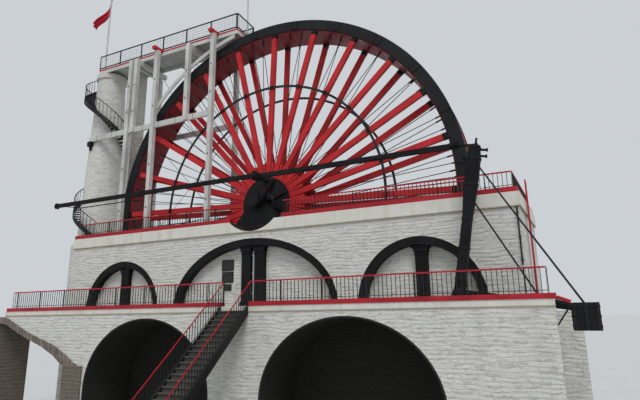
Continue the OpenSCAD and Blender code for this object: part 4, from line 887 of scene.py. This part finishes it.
def flared_ends(places):
    """Four-sided feet and heads of the columns: rectangles stacked up a hollow profile of height and overhang,
    kept flat on the wall side, half as proud in front as at the sides. A head is a foot turned over."""
    profile = np.array([(0.0, 0.16), (0.06, 0.16), (0.065, 0.13), (0.11, 0.078), (0.18, 0.036), (0.28, 0.01)])
    points, faces, start = [], [], 0
    for x, side, z, up, share in places:
        steps = profile if up > 0 else profile[::-1] * (-1, 1)
        count = len(steps)
        wide, deep = COLUMN_HALF + share * steps[:, 1], COLUMN_Y + 0.5 * share * steps[:, 1]
        low, high = np.minimum(RECESS_Y * side, deep * side), np.maximum(RECESS_Y * side, deep * side)
        ring = np.stack([x + np.stack([-wide, wide, wide, -wide], 1), np.stack([low, low, high, high], 1),
                         z + np.repeat(steps[:, :1], 4, 1)], axis=-1)
        points.append(ring.reshape(-1, 3))
        corner = start + np.arange(4)
        faces += (start + ring_faces(count, 4)).tolist() + [corner[::-1].tolist(), (corner + 4 * count - 4).tolist()]
        start += 4 * count
    make_piece("column_flares", np.concatenate(points), faces, "black_paint")


def house_fittings():
    """Beads on the arch bands, mouldings and flared ends on the columns, bare plates and pipes."""
    for word, side in (("front", -1), ("rear", 1)):
        for k, arch in enumerate(ARCHES):
            for edge, inset in (("outer", 0.05), ("inner", 0.31)):
                swept("%s_%s_bead_%d" % (word, edge, k), band_line(arch, inset, side * BAND_Y), circle(0.022, 8),
                      (0, 1, 0), "black_paint")
    rings = [(x, side * 2.7, TERRACE_Z + z) for x, top in COLUMNS.items() for side in (-1, 1)
             for z in (0.24, top - 0.34)]
    boxes("column_mouldings", rings, (0.30, 0.185, 0.028), "black_paint", soften=0.012)
    ends = [(x, side, TERRACE_Z + (0.0 if up > 0 else top), up, 0.7 if top > 2.5 else 1.0)
            for x, top in COLUMNS.items() for side in (-1, 1) for up in (1, -1)]
    flared_ends(ends)
    plates = ((-1.63, -0.95, 7.84, 8.35), (-1.61, -0.96, 7.23, 7.72), (-1.46, -1.07, 6.82, 7.09))
    back = 0.02 - RECESS_Y
    spans("bare_plates", [(a, back - 0.045, c) for a, _, c, _ in plates], [(b, back, d) for _, b, _, d in plates],
          "dark_plate", soften=0.008)
    rim, edge = 0.03, 0.04
    bars = [bar for a, b, c, d in np.array(plates) + (-rim, rim, -rim, rim)
            for bar in ((a, b, c, c + edge), (a, b, d - edge, d), (a, a + edge, c, d), (b - edge, b, c, d))]
    spans("plate_frames", [(a, back - 0.055, c) for a, _, c, _ in bars], [(b, back, d) for _, b, _, d in bars],
          "black_iron", soften=0.004)
    x, y = DOWNPIPE
    rods("downpipe", (x, y, TERRACE_Z + 0.1), (x, y, 8.75), 0.05, "grey_pipe", sides=14)
    boxes("pipe_clamps", [(x, y + 0.06, z) for z in (6.6, 7.6, 8.5)], (0.07, 0.115, 0.025), "grey_pipe",
          soften=0.005)
    x, y = CORNER_PIPE
    rods("corner_pipe", (x, y, 7.3), (x, y, 9.64), 0.03, "black_rail", sides=10)
    boxes("corner_pipe_clips", [(x, y + 0.025, z) for z in (7.5, 8.4, 9.4)], (0.05, 0.035, 0.02), "black_rail")


def fence_fittings():
    """Thin standards in the fences on the wall tops and the terrace, and stays behind the upper ones."""
    thin, pitch = 0.034, 1.98
    upper = [(x, side) for side in (-1, 1) for x in np.arange(-11.9, 12.9, pitch)
             if side > 0 or not -1.45 < x < 2.25]
    beams("upper_standards", [(x, side * UPPER_FENCE_Y, KERB_TOP) for x, side in upper],
          [(x, side * UPPER_FENCE_Y, UPPER_RAIL_TOP) for x, side in upper], thin, thin, "black_rail")
    beams("upper_stays", [(x, side * (UPPER_FENCE_Y - 0.3), KERB_TOP) for x, side in upper],
          [(x, side * (UPPER_FENCE_Y - 0.02), UPPER_RAIL_TOP - 0.25) for x, side in upper], 0.022, 0.022,
          "black_rail")
    lower = [x for x in np.arange(-14.6, 13.9, pitch) if not -0.1 < x < 1.9]
    beams("terrace_standards", [(x, TERRACE_FENCE_Y, TERRACE_Z + 0.19) for x in lower],
          [(x, TERRACE_FENCE_Y, TERRACE_RAIL_TOP - 0.03) for x in lower], thin, thin, "black_rail")


def stair_fittings():
    """Risers that close the stair, a round nosing on each, and newels with balls at its foot."""
    going, rise, wide = 0.235, TERRACE_Z / 30, 1.4
    below = np.arange(29)
    risers = np.stack([0 * below + 0.2, STAIR_FOOT + below * going + 0.012, below * rise], axis=1)
    spans("stair_risers", risers, risers + (wide, 0.03, rise - 0.06), "stair_stone")
    nosings = risers + (0.0, -0.024, rise - 0.035)
    rods("stair_nosings", nosings, nosings + (wide, 0.0, 0.0), 0.022, "stair_stone")
    y, top = STAIR_FOOT + 0.03, STAIR_RAIL_Z + 0.08
    beams("foot_newels", [(x, y, 0.0) for x in STAIR_RAILS_X], [(x, y, top) for x in STAIR_RAILS_X], 0.08, 0.08,
          "red_rail", soften=0.01)
    ball = [(0.0, 0.0), (0.03, 0.01), (0.055, 0.05), (0.03, 0.1), (0.0, 0.11)]
    for k, x in enumerate(STAIR_RAILS_X):
        turned("newel_ball_%d" % k, ball, (x, y, top - 0.01), UP, "red_rail", sides=14)


def stair_head():
    """Red rails that carry the stair's slope on to the terrace fence, over upright newels."""
    y, top = TERRACE_FENCE_Y, TERRACE_RAIL_TOP - 0.03
    for word, x, fence_x in zip(("left", "right"), STAIR_RAILS_X, (0.06, 1.74)):
        foot, head = (x, -5.06, 6.85), (x, y, top)
        beams(word + "_head_rail", [foot, head], [head, (fence_x, y, top)], 0.045, 0.06, "red_rail", soften=0.006)
        beams(word + "_head_newel", (x, y, TERRACE_Z), (x, y, top - 0.01), 0.06, 0.06, "black_rail", soften=0.006)


def outrigger():
    """Short sloping cover at the terrace's right end, its kerb, and two bearers on raking struts."""
    slope = np.array([0.42, 0.0, -0.17])
    starts = np.array([(14.06, -4.92, 6.0), (14.06, -4.42, 6.0)])
    ends = starts + slope
    beams("outrigger_kerb", starts[0], ends[0], 0.14, 0.12, "red_kerb", soften=0.02)
    beams("outrigger_bearers", starts - (0.05, 0.0, 0.11), ends - (0.0, 0.0, 0.11), 0.07, 0.1, "black_iron",
          soften=0.006)
    beams("outrigger_struts", starts - (0.06, 0.0, 0.95), starts + slope * 0.9 - (0.0, 0.0, 0.16), 0.05, 0.05,
          "black_iron", soften=0.005)
    beams("outrigger_cover", starts.mean(axis=0), ends.mean(axis=0), 0.5, 0.04, "black_iron")


house_fittings()
fence_fittings()
stair_fittings()
stair_head()
outrigger()

SKY_LIGHT = (0.60, 0.62, 0.65, 1)
SKY_SEEN = (0.60, 0.63, 0.66, 1)


def make_stage():
    """Plain pale floor, even sky light and one soft sun. The sky that the camera sees is a touch bluer."""
    half = 600.0
    floor = bpy.data.meshes.new("floor")
    floor.from_pydata([(-half, -half, 0), (half, -half, 0), (half, half, 0), (-half, half, 0)], [], [(0, 1, 2, 3)])
    ground = bpy.data.objects.new("floor", floor)
    bpy.context.scene.collection.objects.link(ground)
    shader = Shader("floor_paint", rough=0.9, specular=0.1)
    pale = shader.ramp(shader.noise(0.7, 3.0), [(0.2, (0.56, 0.565, 0.57)), (0.8, (0.60, 0.605, 0.61))])
    shader.finish(pale)
    floor.materials.append(shader.material)
    world = bpy.data.worlds.new("sky")
    bpy.context.scene.world = world
    world.use_nodes = True
    tree = world.node_tree
    sky = tree.nodes["Background"]
    path = tree.nodes.new("ShaderNodeLightPath")
    blend = tree.nodes.new("ShaderNodeMix")
    blend.data_type = "RGBA"
    blend.inputs[6].default_value = SKY_LIGHT
    blend.inputs[7].default_value = SKY_SEEN
    tree.links.new(path.outputs["Is Camera Ray"], blend.inputs[0])
    tree.links.new(blend.outputs[2], sky.inputs["Color"])
    sun = bpy.data.objects.new("sun", bpy.data.lights.new("sun", "SUN"))
    sun.data.energy = 1.5
    sun.data.angle = math.radians(25)
    sun.rotation_euler = Vector((-0.35, 0.62, -1.0)).to_track_quat("-Z", "Y").to_euler()
    bpy.context.scene.collection.objects.link(sun)
    bpy.context.scene.view_settings.view_transform = "Standard"


make_camera()
make_stage()
